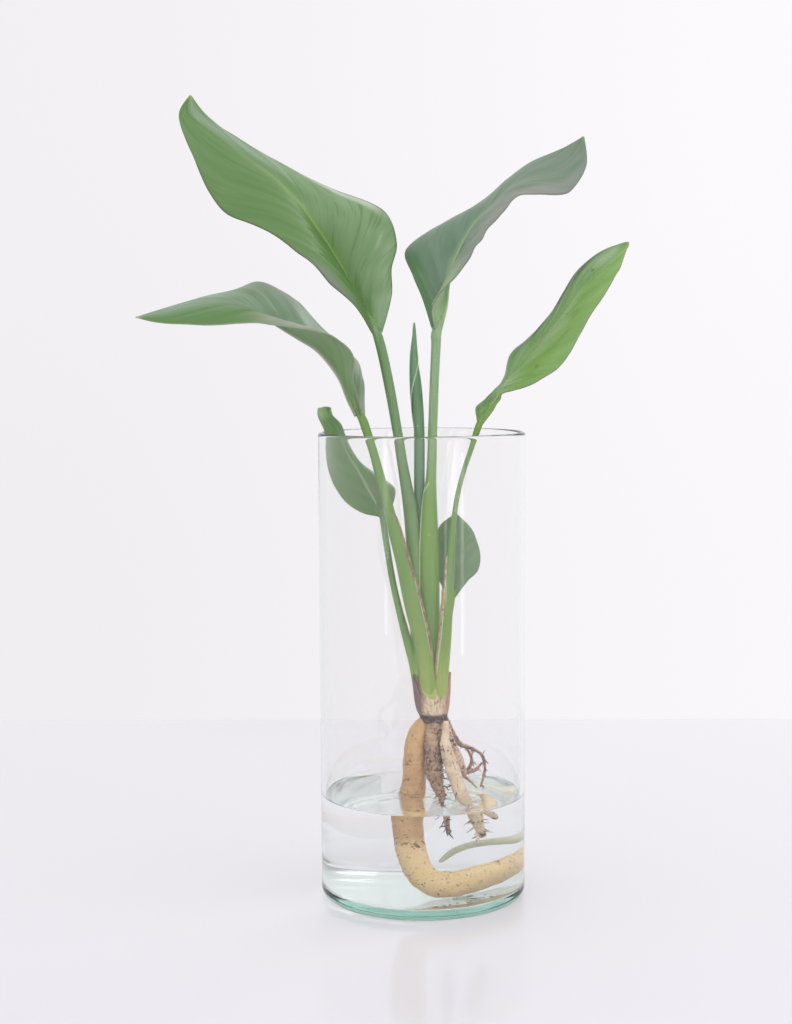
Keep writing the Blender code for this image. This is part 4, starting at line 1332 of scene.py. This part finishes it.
leaf(
    "right",
    right_rows,
    right_slants,
    curls=[(0.62, 0.12, -1, 0.0006, -0.0016)],
    left=(0.19, 0.34, 0.125, 1),
    right=(0.205, 0.375, 0.10, 1),
    deep=(0.155, 0.31, 0.06, 1),
    rib=(0.33, 0.46, 0.22, 1),
    edge=(0.22, 0.28, 0.12, 1),
    tip=(0.44, 0.50, 0.27, 1),
    veins=0.25,
    rib_width=0.040,
    rough=0.29,
    zones=[
        # Painted shade: a dark grey strip along the curled-back left margin.
        (0.44, 0.80, -1.20, -0.66, (0.075, 0.12, 0.08, 1), 1.0),
        # Painted highlight: a pale patch near the tip.
        (0.78, 0.90, -0.75, 0.30, (0.36, 0.50, 0.30, 1), 0.6),
        (0.36, 0.52, 0.20, 0.80, (0.15, 0.33, 0.045, 1), 0.5),
        (0.00, 0.20, -1.05, -0.10, (0.10, 0.20, 0.06, 1), 0.6),
        (0.22, 0.30, -0.60, 0.60, (0.27, 0.37, 0.20, 1), 0.6),
    ],
)
leaf(
    "small_left",
    small_left_rows,
    (0.30, 0.30),
    columns=36,
    steps=90,
    pleats=0.0003,
    left=(0.13, 0.25, 0.085, 1),
    right=(0.15, 0.285, 0.11, 1),
    deep=(0.09, 0.20, 0.06, 1),
    rib=(0.42, 0.50, 0.30, 1),
    edge=(0.26, 0.30, 0.18, 1),
    tip=(0.30, 0.44, 0.20, 1),
    veins=0.35,
    rib_width=0.06,
    zones=[
        (0.84, 1.0, -1.05, 0.10, (0.30, 0.43, 0.22, 1), 0.85),
        (0.05, 0.30, 0.10, 1.05, (0.24, 0.30, 0.18, 1), 0.5),
    ],
)
leaf(
    "small_right",
    small_right_rows,
    (0.30, 0.30),
    columns=36,
    steps=90,
    pleats=0.0003,
    left=(0.14, 0.27, 0.075, 1),
    right=(0.18, 0.30, 0.15, 1),
    deep=(0.13, 0.25, 0.085, 1),
    rib=(0.34, 0.45, 0.26, 1),
    edge=(0.24, 0.30, 0.17, 1),
    tip=(0.27, 0.40, 0.15, 1),
    veins=0.3,
)

drop_sink = 0.00015


def on_right_leaf(along, across):
    """A place on the right leaf's skin."""
    return blade_point(right_rows, along, across, right_slants, 0.0006)


for name, along, across, size in [
    ("low_drop", 0.33, -0.10, 0.0008),
    ("edge_drop", 0.43, 0.66, 0.0010),
    ("middle_drop", 0.60, 0.30, 0.0007),
    ("high_drop", 0.76, -0.15, 0.0008),
]:
    drop_place = on_right_leaf(along, across)
    sideways = (on_right_leaf(along, across + 0.02) - drop_place).normalized()
    tipwards = (on_right_leaf(along + 0.01, across) - drop_place).normalized()
    outwards = sideways.cross(tipwards).normalized()
    if outwards.y > 0:
        outwards = -outwards
    drop = bmesh.new()
    bmesh.ops.create_icosphere(drop, subdivisions=3, radius=size)
    bmesh.ops.scale(drop, vec=(1.0, 0.5, 1.2), verts=drop.verts)
    lying = Matrix((sideways, outwards, sideways.cross(outwards))).transposed().to_4x4()
    lying.translation = drop_place + outwards * drop_sink
    bmesh.ops.transform(drop, matrix=lying, verts=drop.verts)
    finish_piece(drop, name, clear_water)


# ----------------------------------------
# Floor, light and camera
# A plain white glossy table top under soft studio light, seen from a little above the vase's rim.
# ----------------------------------------

table_half = 0.481
table_thickness = 0.03
table_gap = 0.0001
table_edge = 0.003
table_mesh = bmesh.new()
bmesh.ops.create_cube(table_mesh, size=1.0)
bmesh.ops.scale(table_mesh, vec=(2 * table_half, 2 * table_half, table_thickness), verts=table_mesh.verts)
bmesh.ops.translate(table_mesh, vec=(0.0, 0.0, -table_thickness / 2 - table_gap), verts=table_mesh.verts)
bmesh.ops.bevel(
    table_mesh,
    geom=table_mesh.edges[:],
    offset=table_edge,
    offset_type="OFFSET",
    segments=3,
    profile=0.5,
    material=-1,
    affect="EDGES",
)
table_data = bpy.data.meshes.new("table_top")
table_mesh.to_mesh(table_data)
table_mesh.free()
table = bpy.data.objects.new("table_top", table_data)
bpy.context.scene.collection.objects.link(table)
white_gloss = new_material(
    "white_gloss", {"Base Color": (0.80, 0.795, 0.825, 1), "Roughness": 0.13, "Specular IOR Level": 0.4}
)
table_data.materials.append(white_gloss)

world = bpy.data.worlds.new("pale_room")
bpy.context.scene.world = world
world.use_nodes = True
backdrop = world.node_tree.nodes["Background"]
towards = add_node(world, "ShaderNodeTexCoord").outputs["Generated"]
towards_x, _, towards_z = split(world, towards)
# The wall grows brighter towards the right and a little towards the top
rightwards = from_to(world, towards_x, -0.24, 0.24, 0.0, 0.085)
upwards = from_to(world, towards_z, -0.16, 0.16, 0.0, 0.022)
wall_bright = sum_of(world, sum_of(world, rightwards, upwards), 0.868)
backdrop.inputs["Color"].default_value = (1.0, 0.982, 1.008, 1)
world.node_tree.links.new(wall_bright, backdrop.inputs["Strength"])


def softbox(name, place, target_height, width, height, power):
    """A soft rectangular lamp, turned towards the vase's axis."""
    light = bpy.data.lights.new(name, "AREA")
    light.shape = "RECTANGLE"
    light.size = width
    light.size_y = height
    light.energy = power
    lamp = bpy.data.objects.new(name, light)
    lamp.location = place
    aim = Vector((0.0, 0.0, target_height)) - Vector(place)
    lamp.rotation_euler = aim.to_track_quat("-Z", "Y").to_euler()
    bpy.context.scene.collection.objects.link(lamp)


softbox("front_window", (0.15, -2.2, 2.0), 0.2, 0.55, 0.42, 9.0)
softbox("back_right_window", (1.1, 1.2, 1.5), 0.3, 0.8, 0.8, 6.0)
softbox("narrow_window", (1.41, -1.41, -0.02), 0.2, 0.11, 0.34, 0.18)
softbox("middle_window", (0.88, -1.80, -0.03), 0.2, 0.08, 0.14, 0.055)
softbox("right_pane", (1.15, -1.64, 0.12), 0.25, 0.50, 0.14, 0.16)
softbox("left_pane", (-1.28, -1.54, 0.08), 0.25, 0.22, 0.22, 0.12)
# Light crosses many walls of glass and water before it reaches the camera
light_paths = bpy.context.scene.cycles
light_paths.max_bounces = 48
light_paths.transmission_bounces = 48
light_paths.glossy_bounces = 12

camera_place = (0.0, -1.0, 0.3177)
camera_lens = 60.7
turned_left = 0.0150
looking_down = 0.092
rolled = -0.005
camera_data = bpy.data.cameras.new("camera")
camera_data.sensor_width = 36.0
camera_data.lens = camera_lens
camera_data.clip_start = 0.01
camera = bpy.data.objects.new("camera", camera_data)
bpy.context.scene.collection.objects.link(camera)
camera.matrix_world = (
    Matrix.Translation(camera_place)
    @ Matrix.Rotation(turned_left, 4, "Z")
    @ Matrix.Rotation(math.pi / 2 - looking_down, 4, "X")
    @ Matrix.Rotation(rolled, 4, "Z")
)
bpy.context.scene.camera = camera
bpy.context.scene.view_settings.view_transform = "Standard"
